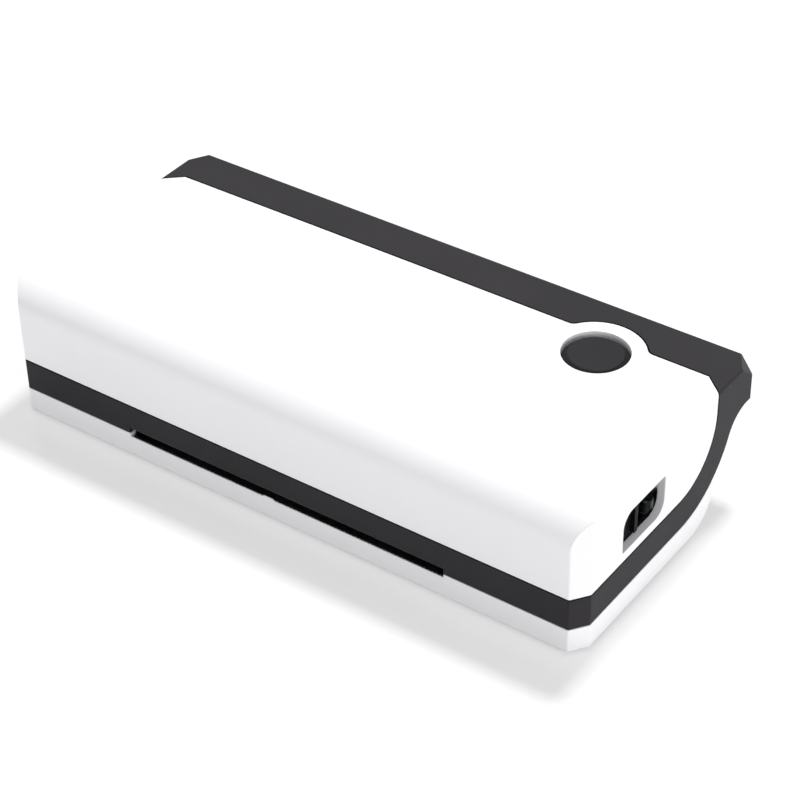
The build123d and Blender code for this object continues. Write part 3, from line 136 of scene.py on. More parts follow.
class Shader:
    """A small builder for one node material."""

    def __init__(self, name):
        self.material = bpy.data.materials.new(name)
        self.material.use_nodes = True
        self.tree = self.material.node_tree
        self.bsdf = self.tree.nodes["Principled BSDF"]
        self.coords = self.tree.nodes.new("ShaderNodeTexCoord")

    def node(self, kind, **settings):
        """A new node with some of its settings."""
        made = self.tree.nodes.new(kind)
        for key, value in settings.items():
            setattr(made, key, value)
        return made

    def fill(self, node, **values):
        """Set a node's inputs by their names, with underscores for spaces."""
        for key, value in values.items():
            node.inputs[key.replace("_", " ")].default_value = value

    def link(self, source, target):
        """Join an output to an input."""
        self.tree.links.new(source, target)

    def mapped(self, scale):
        """Object coordinates with one scale for each axis."""
        mapping = self.node("ShaderNodeMapping")
        self.fill(mapping, Scale=scale)
        self.link(self.coords.outputs["Object"], mapping.inputs["Vector"])
        return mapping.outputs["Vector"]

    def noise(self, scale, detail, stretch=None):
        """Noise over the object, or over its stretched coordinates."""
        made = self.node("ShaderNodeTexNoise")
        self.fill(made, Scale=scale, Detail=detail)
        vector = self.mapped(stretch) if stretch else self.coords.outputs["Object"]
        self.link(vector, made.inputs["Vector"])
        return made.outputs["Fac"]

    def remap(self, value, low, high, start=0.3, end=0.7):
        """Carry the range from start to end over to the range from low to high."""
        made = self.node("ShaderNodeMapRange")
        self.fill(made, From_Min=start, From_Max=end, To_Min=low, To_Max=high)
        self.link(value, made.inputs["Value"])
        return made.outputs["Result"]

    def mix(self, factor, first, second):
        """Blend two colours, each of them a tuple or an output."""
        made = self.node("ShaderNodeMix", data_type="RGBA")
        self.link(factor, made.inputs[0])
        for socket, value in ((made.inputs[6], first), (made.inputs[7], second)):
            if isinstance(value, tuple):
                socket.default_value = (*value, 1.0)
            else:
                self.link(value, socket)
        return made.outputs[2]

    def bump(self, height, distance, strength, under=None):
        """Relief from a height, on top of another normal if there is one."""
        made = self.node("ShaderNodeBump")
        self.fill(made, Strength=strength, Distance=distance)
        self.link(height, made.inputs["Height"])
        if under is not None:
            self.link(under, made.inputs["Normal"])
        return made.outputs["Normal"]

    def soft_edge(self, radius):
        """A normal that rounds the edges."""
        made = self.node("ShaderNodeBevel", samples=EDGE_SAMPLES)
        self.fill(made, Radius=radius)
        return made.outputs["Normal"]

    def edge_mask(self, soft, share):
        """The share where the rounded normal leaves the true one, along the edges, and 0 elsewhere."""
        geometry = self.node("ShaderNodeNewGeometry")
        dot = self.node("ShaderNodeVectorMath", operation="DOT_PRODUCT")
        self.link(soft, dot.inputs[0])
        self.link(geometry.outputs["Normal"], dot.inputs[1])
        return self.remap(dot.outputs["Value"], share, 0.0, EDGE_TURNED, EDGE_FLAT)

    def finish(self, colour, rough, normal=None, metallic=0.0, **fixed):
        """Join the colour, the roughness and the normal to the shader, and return its material."""
        self.link(colour, self.bsdf.inputs["Base Color"])
        if isinstance(rough, float):
            self.fill(self.bsdf, Roughness=rough)
        else:
            self.link(rough, self.bsdf.inputs["Roughness"])
        if normal is not None:
            self.link(normal, self.bsdf.inputs["Normal"])
        self.fill(self.bsdf, Metallic=metallic, **fixed)
        return self.material


def scaled(colour, factor):
    """The same colour, brighter or darker."""
    return tuple(min(1.0, c * factor) for c in colour)


def moulded(name, colour, *, rough, grain, depth, drift, edge, worn, coat=0.0, shine=0.5):
    """Moulded plastic: slow colour drift, a fine texture, soft edges that are a little polished.

    The size of the grain, its depth and the radius of the edge are in millimetres.
    """
    s = Shader(name)
    soft = s.soft_edge(edge * MM)
    slow = s.noise(DRIFT_SCALE, DRIFT_DETAIL)
    base = s.mix(s.remap(slow, 0.0, 1.0), scaled(colour, 1 - drift), scaled(colour, 1 + drift))
    flecks = s.remap(s.noise(FLECK_SCALE, FLECK_DETAIL), 0.0, drift * 2, FLECK_START, FLECK_END)
    base = s.mix(flecks, base, scaled(colour, FLECK_GAIN))
    polished = tuple(min(1.0, c * POLISH_GAIN + POLISH_LIFT) for c in colour)
    base = s.mix(s.edge_mask(soft, worn), base, polished)
    sheen = s.remap(s.noise(SHEEN_SCALE, SHEEN_DETAIL), rough - SHEEN_DROP, rough + SHEEN_RISE)
    fine = s.bump(s.noise(1 / (grain * MM), GRAIN_DETAIL), depth * MM, GRAIN_STRENGTH, soft)
    s.fill(s.bsdf, Specular_IOR_Level=shine)
    return s.finish(base, sheen, fine, Coat_Weight=coat, Coat_Roughness=COAT_ROUGHNESS)


def metal(name, colour, rough, stretch, depth=0.004):
    """Bare metal: fine lines with one scale for each axis, and handling marks. Depth is in millimetres."""
    s = Shader(name)
    soft = s.soft_edge(METAL_EDGE * MM)
    lines = s.noise(1.0, LAY_DETAIL, stretch)
    base = s.mix(s.remap(lines, 0.0, 1.0), scaled(colour, LAY_DARK), scaled(colour, LAY_LIGHT))
    roughness = s.remap(s.noise(MARK_SCALE, MARK_DETAIL), rough - MARK_DROP, rough + MARK_RISE)
    normal = s.bump(lines, depth * MM, LAY_STRENGTH, soft)
    return s.finish(base, roughness, normal, 1.0)


def circuit_board(name):
    """Green solder mask with copper runs under it and dots of bare plating."""
    s = Shader(name)
    brick = s.node("ShaderNodeTexBrick", offset=RUN_OFFSET, squash=RUN_SQUASH)
    s.fill(brick, Scale=RUN_SCALE, Mortar_Size=RUN_MORTAR, Brick_Width=RUN_WIDTH, Row_Height=RUN_HEIGHT)
    s.link(s.coords.outputs["Object"], brick.inputs["Vector"])
    runs = brick.outputs["Fac"]
    base = s.mix(runs, scaled(BOARD, RUN_GAIN), BOARD)
    cells = s.node("ShaderNodeTexVoronoi")
    s.fill(cells, Scale=DOT_SCALE)
    s.link(s.coords.outputs["Object"], cells.inputs["Vector"])
    dots = s.remap(cells.outputs["Distance"], 1.0, 0.0, DOT_START, DOT_END)
    base = s.mix(dots, base, scaled(GOLD, DOT_GAIN))
    rough = s.remap(s.noise(BOARD_SCALE, BOARD_DETAIL), MASK_ROUGH_LOW, MASK_ROUGH_HIGH)
    normal = s.bump(runs, RUN_RELIEF * MM, RUN_STRENGTH)
    return s.finish(base, rough, normal, Coat_Weight=MASK_COAT, Coat_Roughness=MASK_COAT_ROUGHNESS)


def rubber(name):
    """Ground rubber: matt, with a fine nap and a little dust."""
    s = Shader(name)
    nap = s.noise(NAP_SCALE, NAP_DETAIL)
    base = s.mix(s.remap(nap, 0.0, 1.0), scaled(RUBBER, NAP_DARK), scaled(RUBBER, NAP_LIGHT))
    dust = s.remap(s.noise(DUST_SCALE, DUST_DETAIL), 0.0, DUST_SHARE, DUST_START, DUST_END)
    base = s.mix(dust, base, DUST)
    normal = s.bump(nap, NAP_RELIEF * MM, NAP_STRENGTH, s.soft_edge(RUBBER_EDGE * MM))
    return s.finish(base, s.remap(nap, NAP_ROUGH_LOW, NAP_ROUGH_HIGH), normal)


MATERIALS = {
    "white_shell": moulded(
        "white_shell_look", WHITE, rough=0.40, grain=0.55, depth=0.008, drift=0.004, edge=0.30, worn=0.05
    ),
    "dark_trim": moulded(
        "dark_trim_look", TRIM,
        rough=0.48, grain=0.35, depth=0.02, drift=0.08, edge=0.30, worn=0.16, shine=0.07
    ),
    "dark_button": moulded(
        "dark_button_look", BUTTON,
        rough=0.42, grain=0.30, depth=0.014, drift=0.06, edge=0.25, worn=0.12, shine=0.07
    ),
    "latch_plastic": moulded(
        "latch_plastic_look", LATCH,
        rough=0.42, grain=0.40, depth=0.015, drift=0.08, edge=0.25, worn=0.18, shine=0.06
    ),
    "black_plastic": moulded(
        "black_plastic_look", BLACK,
        rough=0.44, grain=0.45, depth=0.02, drift=0.08, edge=0.20, worn=0.15, shine=0.20
    ),
    "guide_plastic": moulded(
        "guide_plastic_look", NATURAL, rough=0.38, grain=0.60, depth=0.012, drift=0.03, edge=0.20, worn=0.06
    ),
    "rubber": rubber("rubber_look"),
    "steel": metal("steel_look", STEEL, 0.30, (60.0, 3500.0, 3500.0)),
    "aluminium": metal("aluminium_look", ALUMINIUM, 0.36, (50.0, 2600.0, 2600.0)),
    "ceramic": moulded(
        "ceramic_look", CERAMIC,
        rough=0.16, grain=0.90, depth=0.006, drift=0.03, edge=0.12, worn=0.03, coat=0.5
    ),
    "board": circuit_board("board_look"),
}
GOLD_LOOK = metal("contact_gold", GOLD, 0.25, (3000.0, 60.0, 3000.0))
SOLDER_LOOK = metal("tinned_copper", TIN, 0.34, (900.0, 900.0, 900.0))
CHIP_LOOK = moulded(
    "chip_epoxy", EPOXY, rough=0.5, grain=0.25, depth=0.02, drift=0.1, edge=0.12, worn=0.1
)
CAN_LOOK = metal("motor_can", CAN, 0.34, (60.0, 2800.0, 2800.0), 0.006)
HEATER_LOOK = moulded(
    "heater_line", HEATER, rough=0.2, grain=0.5, depth=0.006, drift=0.05, edge=0.1, worn=0.05
)
BLADE_LOOK = metal("blackened_steel", BLACKENED, 0.38, (60.0, 3500.0, 3500.0))
# Slot lip look: lighter and shinier than the band, a painted highlight
LIP_HIGHLIGHT_LOOK = moulded(
    "slot_lip_look", LIP_HIGHLIGHT, rough=0.40, grain=0.35, depth=0.01, drift=0.06, edge=0.10, worn=0.10, shine=0.35
)

for node in NODES.values():
    for index, held in enumerate(node.data.materials):
        key = held.name.split(".")[0]
        if key in MATERIALS:
            node.data.materials[index] = MATERIALS[key]


def add(name, mesh, look, body, replaces=()):
    """Put one mesh in the scene as a named piece that rides on a body."""
    made = bpy.data.objects.new(name, mesh)
    bpy.context.scene.collection.objects.link(made)
    mesh.materials.append(look)
    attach(made, body)
    if replaces:
        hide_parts(*replaces)
    return made


def mesh_of(name, bm, crease=35.0):
    """Turn an edit mesh into a mesh shaded smooth up to the crease angle."""
    bmesh.ops.recalc_face_normals(bm, faces=bm.faces)
    limit = math.radians(crease)
    for face in bm.faces:
        face.smooth = True
    for edge in bm.edges:
        if len(edge.link_faces) == 2 and edge.calc_face_angle(0.0) > limit:
            edge.smooth = False
    mesh = bpy.data.meshes.new(name)
    bm.to_mesh(mesh)
    bm.free()
    return mesh


ON_AXIS = 1e-9
LARGEST_EASE = 0.45


def lathe(bm, profile, centre, axis, steps):
    """Turn a profile of (radius, height) points about an axis through the centre."""
    axis = Vector(axis).normalized()
    side = axis.orthogonal().normalized()
    other = axis.cross(side)
    rings = []
    for radius, height in profile:
        middle = Vector(centre) + axis * height
        if radius < ON_AXIS:
            rings.append([bm.verts.new(middle)])
            continue
        ring = []
        for step in range(steps):
            turn = 2 * math.pi * step / steps
            ring.append(bm.verts.new(middle + radius * (side * math.cos(turn) + other * math.sin(turn))))
        rings.append(ring)
    for near, far in zip(rings, rings[1:]):
        for step in range(steps):
            after = (step + 1) % steps
            loop = [near[step % len(near)], near[after % len(near)]]
            loop += [far[after % len(far)], far[step % len(far)]]
            unique = list(dict.fromkeys(loop))
            if len(unique) >= 3:
                bm.faces.new(unique)


def slab(bm, low, high, ease, segments=2):
    """A block between two corners, with every edge rounded by the ease."""
    low, high = Vector(low), Vector(high)
    made = bmesh.ops.create_cube(bm, size=1.0)
    size = high - low
    matrix = Matrix.Translation((low + high) / 2) @ Matrix.Diagonal((*size, 1.0))
    bmesh.ops.transform(bm, matrix=matrix, verts=made["verts"])
    edges = list({e for v in made["verts"] for e in v.link_edges})
    width = min(ease, min(size) * LARGEST_EASE)
    bmesh.ops.bevel(bm, geom=edges, offset=width, segments=segments, affect="EDGES", profile=0.5)


def extruded(bm, outline, origin, across, up, along, length):
    """A closed outline of (across, up) points carried along an axis."""
    origin, across, up, along = Vector(origin), Vector(across), Vector(up), Vector(along)
    near = [bm.verts.new(origin + across * a + up * b) for a, b in outline]
    far = [bm.verts.new(v.co + along * length) for v in near]
    bm.faces.new(near)
    bm.faces.new(list(reversed(far)))
    for i in range(len(near)):
        j = (i + 1) % len(near)
        bm.faces.new([near[j], near[i], far[i], far[j]])


def corners(node):
    """Lowest corner, highest corner and middle of a CAD node."""
    low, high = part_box(node)
    return low, high, (low + high) / 2


# Button: a cap with a slightly dished face, a sloped rim, a flange that holds it in, and a stem.
# The points of the rim and the slope are a radius added and a drop from the top, in millimetres.
# Those of the dish are a share of the face's radius and a drop.
CAP_RADIUS = 10.5 * MM
FACE_RADIUS = 8.5 * MM
STEM_RADIUS = 2.2 * MM
STEM_LENGTH = 3.0 * MM
STEM_EASE = 0.2 * MM
FLANGE = 1.2 * MM
RIM = ((0.0, 1.9), (-0.10, 1.6), (-0.35, 1.35))
SLOPE = ((0.75, 0.75), (0.40, 0.35), (0.20, 0.10), (0.0, 0.0), (-0.35, 0.02))
DISH = ((0.7, 0.22), (0.4, 0.34), (0.0, 0.38))
low, high, middle = corners("button_cap")
flange_radius = (high.x - low.x) / 2
top = high.z - low.z
cap_profile = [
    (0, 0), (STEM_RADIUS - STEM_EASE, 0), (STEM_RADIUS, STEM_EASE), (STEM_RADIUS, STEM_LENGTH),
    (flange_radius, STEM_LENGTH), (flange_radius, STEM_LENGTH + FLANGE), (CAP_RADIUS, STEM_LENGTH + FLANGE),
]
cap_profile += [(CAP_RADIUS + out * MM, top - drop * MM) for out, drop in RIM]
cap_profile += [(FACE_RADIUS + out * MM, top - drop * MM) for out, drop in SLOPE]
cap_profile += [(FACE_RADIUS * share, top - drop * MM) for share, drop in DISH]
bm = bmesh.new()
lathe(bm, cap_profile, (middle.x, middle.y, low.z), Z_AXIS, 128)
cap_mesh = mesh_of("button_look", bm, 40.0)
add("button_look", cap_mesh, MATERIALS["dark_button"], "button", ["button_cap"])

# Tear bar: a blackened steel strip with fine teeth along its front edge
TOOTH = 1.4 * MM
TOOTH_DEPTH = 0.8 * MM
low, high, _ = corners("tear_bar")
count = int((high.x - low.x) / TOOTH)
pitch = (high.x - low.x) / count
blade = [(low.x, high.y), (high.x, high.y)]
for tooth in range(count, 0, -1):
    blade.append((low.x + tooth * pitch, low.y + TOOTH_DEPTH))
    blade.append((low.x + (tooth - 0.5) * pitch, low.y))
blade.append((low.x, low.y + TOOTH_DEPTH))
bm = bmesh.new()
extruded(bm, blade, (0, 0, low.z), X_AXIS, Y_AXIS, Z_AXIS, high.z - low.z)
add("tear_blade", mesh_of("tear_blade", bm), BLADE_LOOK, "base", ["tear_bar"])

# Front sill: a white edge before the blade, with a small raised marker near the middle of the slot
SILL_X = -5.0 * MM
SILL_HALF = 1.7 * MM
SILL_SLOPE = 0.6 * MM
SILL_LOW, SILL_HIGH, SILL_TOP = 7.3 * MM, 8.0 * MM, 8.45 * MM
SILL_LENGTH = 59.9 * MM
SILL_THICKNESS = 0.36 * MM
SILL_SETBACK = 0.01 * MM
front_y = corners("base_tray")[0].y
bm = bmesh.new()
edge_line = [
    (-SILL_LENGTH, SILL_LOW), (SILL_LENGTH, SILL_LOW), (SILL_LENGTH, SILL_HIGH),
    (SILL_X + SILL_HALF + SILL_SLOPE, SILL_HIGH), (SILL_X + SILL_HALF, SILL_TOP),
    (SILL_X - SILL_HALF, SILL_TOP), (SILL_X - SILL_HALF - SILL_SLOPE, SILL_HIGH), (-SILL_LENGTH, SILL_HIGH),
]
extruded(bm, edge_line, (0, front_y + SILL_SETBACK, 0), X_AXIS, Z_AXIS, Y_AXIS, SILL_THICKNESS)
add("sill_edge", mesh_of("sill_edge", bm), MATERIALS["white_shell"], "base")

# Slot lip: a thin rounded bead along the band's edge over the slot, coloured lighter and shinier than the
# band as a painted highlight of the light its edge catches
LIP_HALF = 59.9 * MM
LIP_RADIUS = 0.28 * MM
LIP_HEIGHT = 11.62 * MM
LIP_SIDES = 16
bm = bmesh.new()
around = [2 * math.pi * k / LIP_SIDES for k in range(LIP_SIDES)]
bead = [(LIP_RADIUS * math.cos(a), LIP_RADIUS * math.sin(a)) for a in around]
extruded(bm, bead, (-LIP_HALF, front_y + LIP_RADIUS, LIP_HEIGHT), Y_AXIS, Z_AXIS, X_AXIS, 2 * LIP_HALF)
add("slot_lip", mesh_of("slot_lip", bm, 60.0), LIP_HIGHLIGHT_LOOK, "lid")

# Springs: round wire coiled in place of each CAD spring, by joint, turns, travel and whether the top end
# stays
SPRINGS = {
    "button_spring": ("button_press", 4, 0.0012, False),
    "head_spring_left": ("head_float", 5, 0.0008, True),
    "head_spring_middle": ("head_float", 5, 0.0008, True),
    "head_spring_right": ("head_float", 5, 0.0008, True),
}
WIRE = 0.25 * MM
WIRE_STEPS, WIRE_SIDES = 28, 8
around = [2 * math.pi * k / WIRE_SIDES for k in range(WIRE_SIDES)]
for name, (joint, turns, travel, from_top) in SPRINGS.items():
    low, high, middle = corners(name)
    radius = (high.x - low.x) / 2 - WIRE
    height = high.z - low.z - 2 * WIRE
    bm = bmesh.new()
    steps = turns * WIRE_STEPS
    rings = []
    for step in range(steps + 1):
        share = step / steps
        turn = 2 * math.pi * turns * share
        spot = Vector((middle.x, middle.y, low.z + WIRE + height * share))
        out = Vector((math.cos(turn), math.sin(turn), 0))
        rings.append([
            bm.verts.new(spot + out * (radius + WIRE * math.cos(a)) + Vector((0, 0, WIRE * math.sin(a))))
            for a in around
        ])
    for near, far in zip(rings, rings[1:]):
        for k in range(WIRE_SIDES):
            after = (k + 1) % WIRE_SIDES
            bm.faces.new([near[k], near[after], far[after], far[k]])
    bm.faces.new(rings[0])
    bm.faces.new(list(reversed(rings[-1])))
    coil = add(f"{name}_wire", mesh_of(name, bm, 60.0), MATERIALS["steel"], "lid", [name])
    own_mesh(coil)

# Screws: pan heads with a hole in the middle, a threaded shank and a dark cross, a thin black sheet set flush
# on the head as painted shade of a cross recess.
# The points of the head are a distance inwards and a height, in millimetres.
SHANK = 1.4 * MM
HOLE_DEPTH, HOLE_FLOOR, HOLE_MOUTH, MOUTH_EASE = 0.7 * MM, 0.45 * MM, 0.5 * MM, 0.02 * MM
HEAD_PROFILE = ((0.45, 0.0), (0.12, 0.15), (0.0, 0.4), (0.0, 0.98))
HEAD_HEIGHT = 1.0 * MM
THREAD_START, THREAD_PITCH, THREAD_DEPTH, THREAD_POINTS = 1.2, 0.3, 0.18, 8
TIP_EASE, TIP_RISE = 0.3 * MM, 0.1 * MM
CROSS_ARM, CROSS_HALF, CROSS_DEPTH, CROSS_OUT = 1.5 * MM, 0.28 * MM, 0.05 * MM, 0.03 * MM
CROSS_TAPER = 0.6
PLACES = ("front_left", "front_right", "rear_left", "rear_right")
cross_shade_top = CROSS_HALF * CROSS_TAPER
cross_shade_outline = [(-CROSS_HALF, 0), (CROSS_HALF, 0), (cross_shade_top, CROSS_DEPTH), (-cross_shade_top, CROSS_DEPTH)]
for name in [f"screw_{place}" for place in PLACES]:
    low, high, middle = corners(name)
    head, rise = (high.x - low.x) / 2, high.z - low.z
    bm = bmesh.new()
    rings = [(0, HOLE_DEPTH), (HOLE_FLOOR, HOLE_DEPTH), (HOLE_MOUTH, MOUTH_EASE)]
    rings += [(head - inward * MM, height * MM) for inward, height in HEAD_PROFILE]
    rings.append((SHANK, HEAD_HEIGHT))
    for k in range(THREAD_POINTS):
        rings.append((SHANK - THREAD_DEPTH * MM * (k % 2), (THREAD_START + THREAD_PITCH * k) * MM))
    rings += [(SHANK - TIP_EASE, rise - TIP_RISE), (0, rise)]
    lathe(bm, rings, (middle.x, middle.y, low.z), Z_AXIS, 48)
    add(f"{name}_look", mesh_of(name, bm), MATERIALS["steel"], "base", [name])
    # The cross: a black sheet at the head's face, painted shade where a cross recess would be, not a cut
    # recess
    bm = bmesh.new()
    for turn in (0, math.pi / 2):
        along = Vector((math.cos(turn), math.sin(turn), 0))
        across = Vector((-along.y, along.x, 0))
        start = Vector((middle.x, middle.y, low.z - CROSS_OUT)) - along * CROSS_ARM
        extruded(bm, cross_shade_outline, start, across, Z_AXIS, along, 2 * CROSS_ARM)
    add(f"{name}_cross", mesh_of(name + "_cross", bm), MATERIALS["black_plastic"], "base")

# Feet: rubber pads with a rounded rim and three shallow rings.
# A ring's points are a distance from its radius and a height, and the rim's a distance inwards and a height.
RING_COUNT, RING_PITCH, GROOVE_DEPTH = 3, 1.15, 0.25
RING_PROFILE = ((-0.3, GROOVE_DEPTH), (-0.2, 0.02), (0.25, 0.02), (0.35, GROOVE_DEPTH))
PAD_RIM = ((0.75, 0.0), (0.2, 0.08), (0.0, 0.4))
for name in [f"foot_{place}" for place in PLACES]:
    low, high, middle = corners(name)
    radius, rise = (high.x - low.x) / 2, high.z - low.z
    pad = [(0, GROOVE_DEPTH * MM)]
    for ring in range(1, RING_COUNT + 1):
        pad += [((ring * RING_PITCH + out) * MM, height * MM) for out, height in RING_PROFILE]
    pad += [(radius - inward * MM, height * MM) for inward, height in PAD_RIM]
    pad += [(radius, rise), (0, rise)]
    bm = bmesh.new()
    lathe(bm, pad, (middle.x, middle.y, low.z), Z_AXIS, 64)
    add(f"{name}_look", mesh_of(name, bm), MATERIALS["rubber"], "base", [name])

# Main board: chips by X, depth behind the front, width, length and height, all in millimetres
CHIPS = ((70, 30, 10, 10, 1.4), (84, 28, 7, 7, 1.2), (72, 47, 6, 8, 1.6), (86, 46, 8, 5, 1.1))
CHIP_EASE = 0.15 * MM
PIN_PITCH, PIN_WIDTH, PIN_HEIGHT, PIN_REACH, PIN_UNDER = 0.8, 0.35, 0.35, 0.9, 0.1
PIN_EASE = 0.06 * MM
deck = corners("main_board")[1].z


def at(x, depth, rise=0.0):
    """A point over the board, from its X, its depth behind the front and its rise, in millimetres."""
    return Vector((x * MM, cad_low.y + depth * MM, deck + rise * MM))


# Small parts on the board: two rows, each part with a solder end, a ceramic middle and a solder end
PART_COUNT, PART_ROW = 14, 7
PART_X, PART_PITCH, PART_DEPTH, ROW_PITCH = 69, 3.1, 42.0, 15.5
PART_BODY_START, PART_BODY_END, PART_END, PART_LENGTH = 0.5, 1.3, 1.8, 0.9
PART_HEIGHT, PART_BODY_HEIGHT = 0.5, 0.46
PART_EASE = 0.08 * MM
part_spots = [
    (PART_X + (k % PART_ROW) * PART_PITCH, PART_DEPTH + ROW_PITCH * (k // PART_ROW))
    for k in range(PART_COUNT)
]
bm = bmesh.new()
for x, depth, wide, long, tall in CHIPS:
    slab(bm, at(x, depth), at(x + wide, depth + long, tall), CHIP_EASE)
add("board_chips", mesh_of("board_chips", bm), CHIP_LOOK, "base")
bm = bmesh.new()
for x, depth, wide, long, _ in CHIPS:
    for k in range(int(wide / PIN_PITCH) - 1):
        pin = x + PIN_PITCH + k * PIN_PITCH
        for near, far in ((-PIN_REACH, PIN_UNDER), (long - PIN_UNDER, long + PIN_REACH)):
            slab(bm, at(pin, depth + near), at(pin + PIN_WIDTH, depth + far, PIN_HEIGHT), PIN_EASE, 1)
for x, depth in part_spots:
    for near, far in ((0, PART_BODY_START), (PART_BODY_END, PART_END)):
        slab(bm, at(x + near, depth), at(x + far, depth + PART_LENGTH, PART_HEIGHT), PIN_EASE, 1)
add("board_pads", mesh_of("board_pads", bm), SOLDER_LOOK, "base")
bm = bmesh.new()
for x, depth in part_spots:
    body_far = at(x + PART_BODY_END, depth + PART_LENGTH, PART_BODY_HEIGHT)
    slab(bm, at(x + PART_BODY_START, depth), body_far, PART_EASE, 1)
add("board_ceramics", mesh_of("board_ceramics", bm), MATERIALS["ceramic"], "base")

# Capacitors by X, depth, radius and height, with a groove round each can at shares of its height
CAPACITORS = ((80.5, 36.0, 3.0, 6.0), (92.5, 60.5, 2.5, 5.5), (81.0, 61.0, 2.5, 5.5))
CAN_BEAD, CAN_SINK = 0.25 * MM, 0.1 * MM
GROOVE_START, GROOVE_MIDDLE, GROOVE_END = 0.16, 0.20, 0.24
bm = bmesh.new()
for x, depth, radius, tall in CAPACITORS:
    r, h = radius * MM, tall * MM
    can = [
        (0, 0), (r - CAN_BEAD, 0), (r, CAN_BEAD),
        (r, GROOVE_START * h), (r - CAN_BEAD, GROOVE_MIDDLE * h), (r, GROOVE_END * h),
        (r, h - CAN_BEAD), (r - CAN_BEAD, h), (r - 2 * CAN_BEAD, h - CAN_SINK), (0, h - CAN_SINK),
    ]
    lathe(bm, can, at(x, depth), Z_AXIS, 40)
add("board_capacitors", mesh_of("board_capacitors", bm), MATERIALS["aluminium"], "base")

# Headers by the X and depth of two corners and the height, and the pins of the larger one
HEADERS = ((68, 24, 80, 27.4, 4.6), (84, 24, 92, 26.6, 3.2))
HEADER_EASE = 0.3 * MM
PIN_COUNT, PIN_X, PIN_STEP, PIN_SIDE = 9, 69, 1.25, 0.5
PIN_DEPTHS, PIN_RISES = (25.2, 25.8), (4.5, 5.4)
bm = bmesh.new()
for x, depth, far_x, far_depth, tall in HEADERS:
    slab(bm, at(x, depth), at(far_x, far_depth, tall), HEADER_EASE)
add("board_headers", mesh_of("board_headers", bm), MATERIALS["guide_plastic"], "base")
bm = bmesh.new()
for x in [PIN_X + PIN_STEP * k for k in range(PIN_COUNT)]:
    pin_low = at(x, PIN_DEPTHS[0], PIN_RISES[0])
    slab(bm, pin_low, at(x + PIN_SIDE, PIN_DEPTHS[1], PIN_RISES[1]), PART_EASE, 1)
add("board_pins", mesh_of("board_pins", bm), GOLD_LOOK, "base")

# Ports: the socket's tongue with four contacts, and the jack's centre pin
PORT_DEPTH = 8.0 * MM
TONGUE_HALF, TONGUE_RISE, TONGUE_LENGTH, TONGUE_EASE = 2.7 * MM, 1.6 * MM, 6.2 * MM, 0.3 * MM
CONTACT_X = (-1.25, 1.25)
CONTACT_HALF, CONTACT_THICKNESS, CONTACT_EASE = 0.5, 0.12 * MM, 0.04 * MM
CONTACT_START, CONTACT_SHORTER = 0.6 * MM, 1.4 * MM
JACK_PIN = ((0, 0), (1.0, 0), (1.0, 5.4), (0.8, 6.1), (0.35, 6.5), (0, 6.5))
_, high, middle = corners("usb_port")
tongue_low = Vector((middle.x - TONGUE_HALF, high.y - PORT_DEPTH, middle.z - TONGUE_RISE))
tongue_high = Vector((middle.x + TONGUE_HALF, high.y - PORT_DEPTH + TONGUE_LENGTH, middle.z + TONGUE_RISE))
bm = bmesh.new()
slab(bm, tongue_low, tongue_high, TONGUE_EASE)
add("usb_tongue", mesh_of("usb_tongue", bm), MATERIALS["guide_plastic"], "base")
contact = Vector((2 * CONTACT_HALF * MM, TONGUE_LENGTH - CONTACT_SHORTER, CONTACT_THICKNESS))
bm = bmesh.new()
for x in CONTACT_X:
    for z in (tongue_low.z - CONTACT_THICKNESS, tongue_high.z):
        near = Vector((middle.x + (x - CONTACT_HALF) * MM, tongue_low.y + CONTACT_START, z))
        slab(bm, near, near + contact, CONTACT_EASE, 1)
add("usb_contacts", mesh_of("usb_contacts", bm), GOLD_LOOK, "base")
_, high, middle = corners("power_jack")
pin = [(radius * MM, height * MM) for radius, height in JACK_PIN]
bm = bmesh.new()
lathe(bm, pin, (middle.x, high.y - PORT_DEPTH, middle.z), Y_AXIS, 32)
add("jack_pin", mesh_of("jack_pin", bm), MATERIALS["steel"], "base")

# Print head: the glazed heater line under the ceramic, and the strip over its driver chips
LINE_HALF, LINE_RISE, LINE_INSET, LINE_SINK = 0.7 * MM, 0.06 * MM, 2 * MM, 0.02 * MM
LINE_SHOULDER, LINE_CROWN = 0.6, 1.3
DRIVER_INSET, DRIVER_FAR, DRIVER_NEAR = 3 * MM, 3.2 * MM, 1.6 * MM
DRIVER_DROP, DRIVER_SINK, DRIVER_EASE = 0.08 * MM, 0.02 * MM, 0.1 * MM
low, high, middle = corners("print_head")
bead = [
    (-LINE_HALF, LINE_SINK), (LINE_HALF, LINE_SINK), (LINE_HALF * LINE_SHOULDER, -LINE_RISE),
    (0, -LINE_RISE * LINE_CROWN), (-LINE_HALF * LINE_SHOULDER, -LINE_RISE),
]
line_length = high.x - low.x - 2 * LINE_INSET
bm = bmesh.new()
extruded(bm, bead, (low.x + LINE_INSET, middle.y, low.z), Y_AXIS, Z_AXIS, X_AXIS, line_length)
add("heater_line", mesh_of("heater_line", bm), HEATER_LOOK, "head")
driver_low = (low.x + DRIVER_INSET, high.y - DRIVER_FAR, low.z - DRIVER_DROP)
driver_high = (high.x - DRIVER_INSET, high.y - DRIVER_NEAR, low.z + DRIVER_SINK)
bm = bmesh.new()
slab(bm, driver_low, driver_high, DRIVER_EASE, 1)
add("head_drivers", mesh_of("head_drivers", bm), CHIP_LOOK, "head")

# Motor: two raised rings round the can, over its CAD body
RING, RING_WIDTH, RING_ROOT = 0.35 * MM, 1.6 * MM, 1.2 * MM
RING_STARTS = (1.2 * MM, 13.6 * MM)
low, high, middle = corners("motor_body")
radius = (high.y - low.y) / 2
rib = [
    (radius - RING_ROOT, 0), (radius, 0), (radius + RING, RING), (radius + RING, RING_WIDTH),
    (radius, RING_WIDTH + RING), (radius - RING_ROOT, RING_WIDTH + RING), (radius - RING_ROOT, 0),
]
bm = bmesh.new()
for start in RING_STARTS:
    lathe(bm, rib, (low.x + start, middle.y, middle.z), X_AXIS, 96)
add("motor_rings", mesh_of("motor_rings", bm), CAN_LOOK, "base")

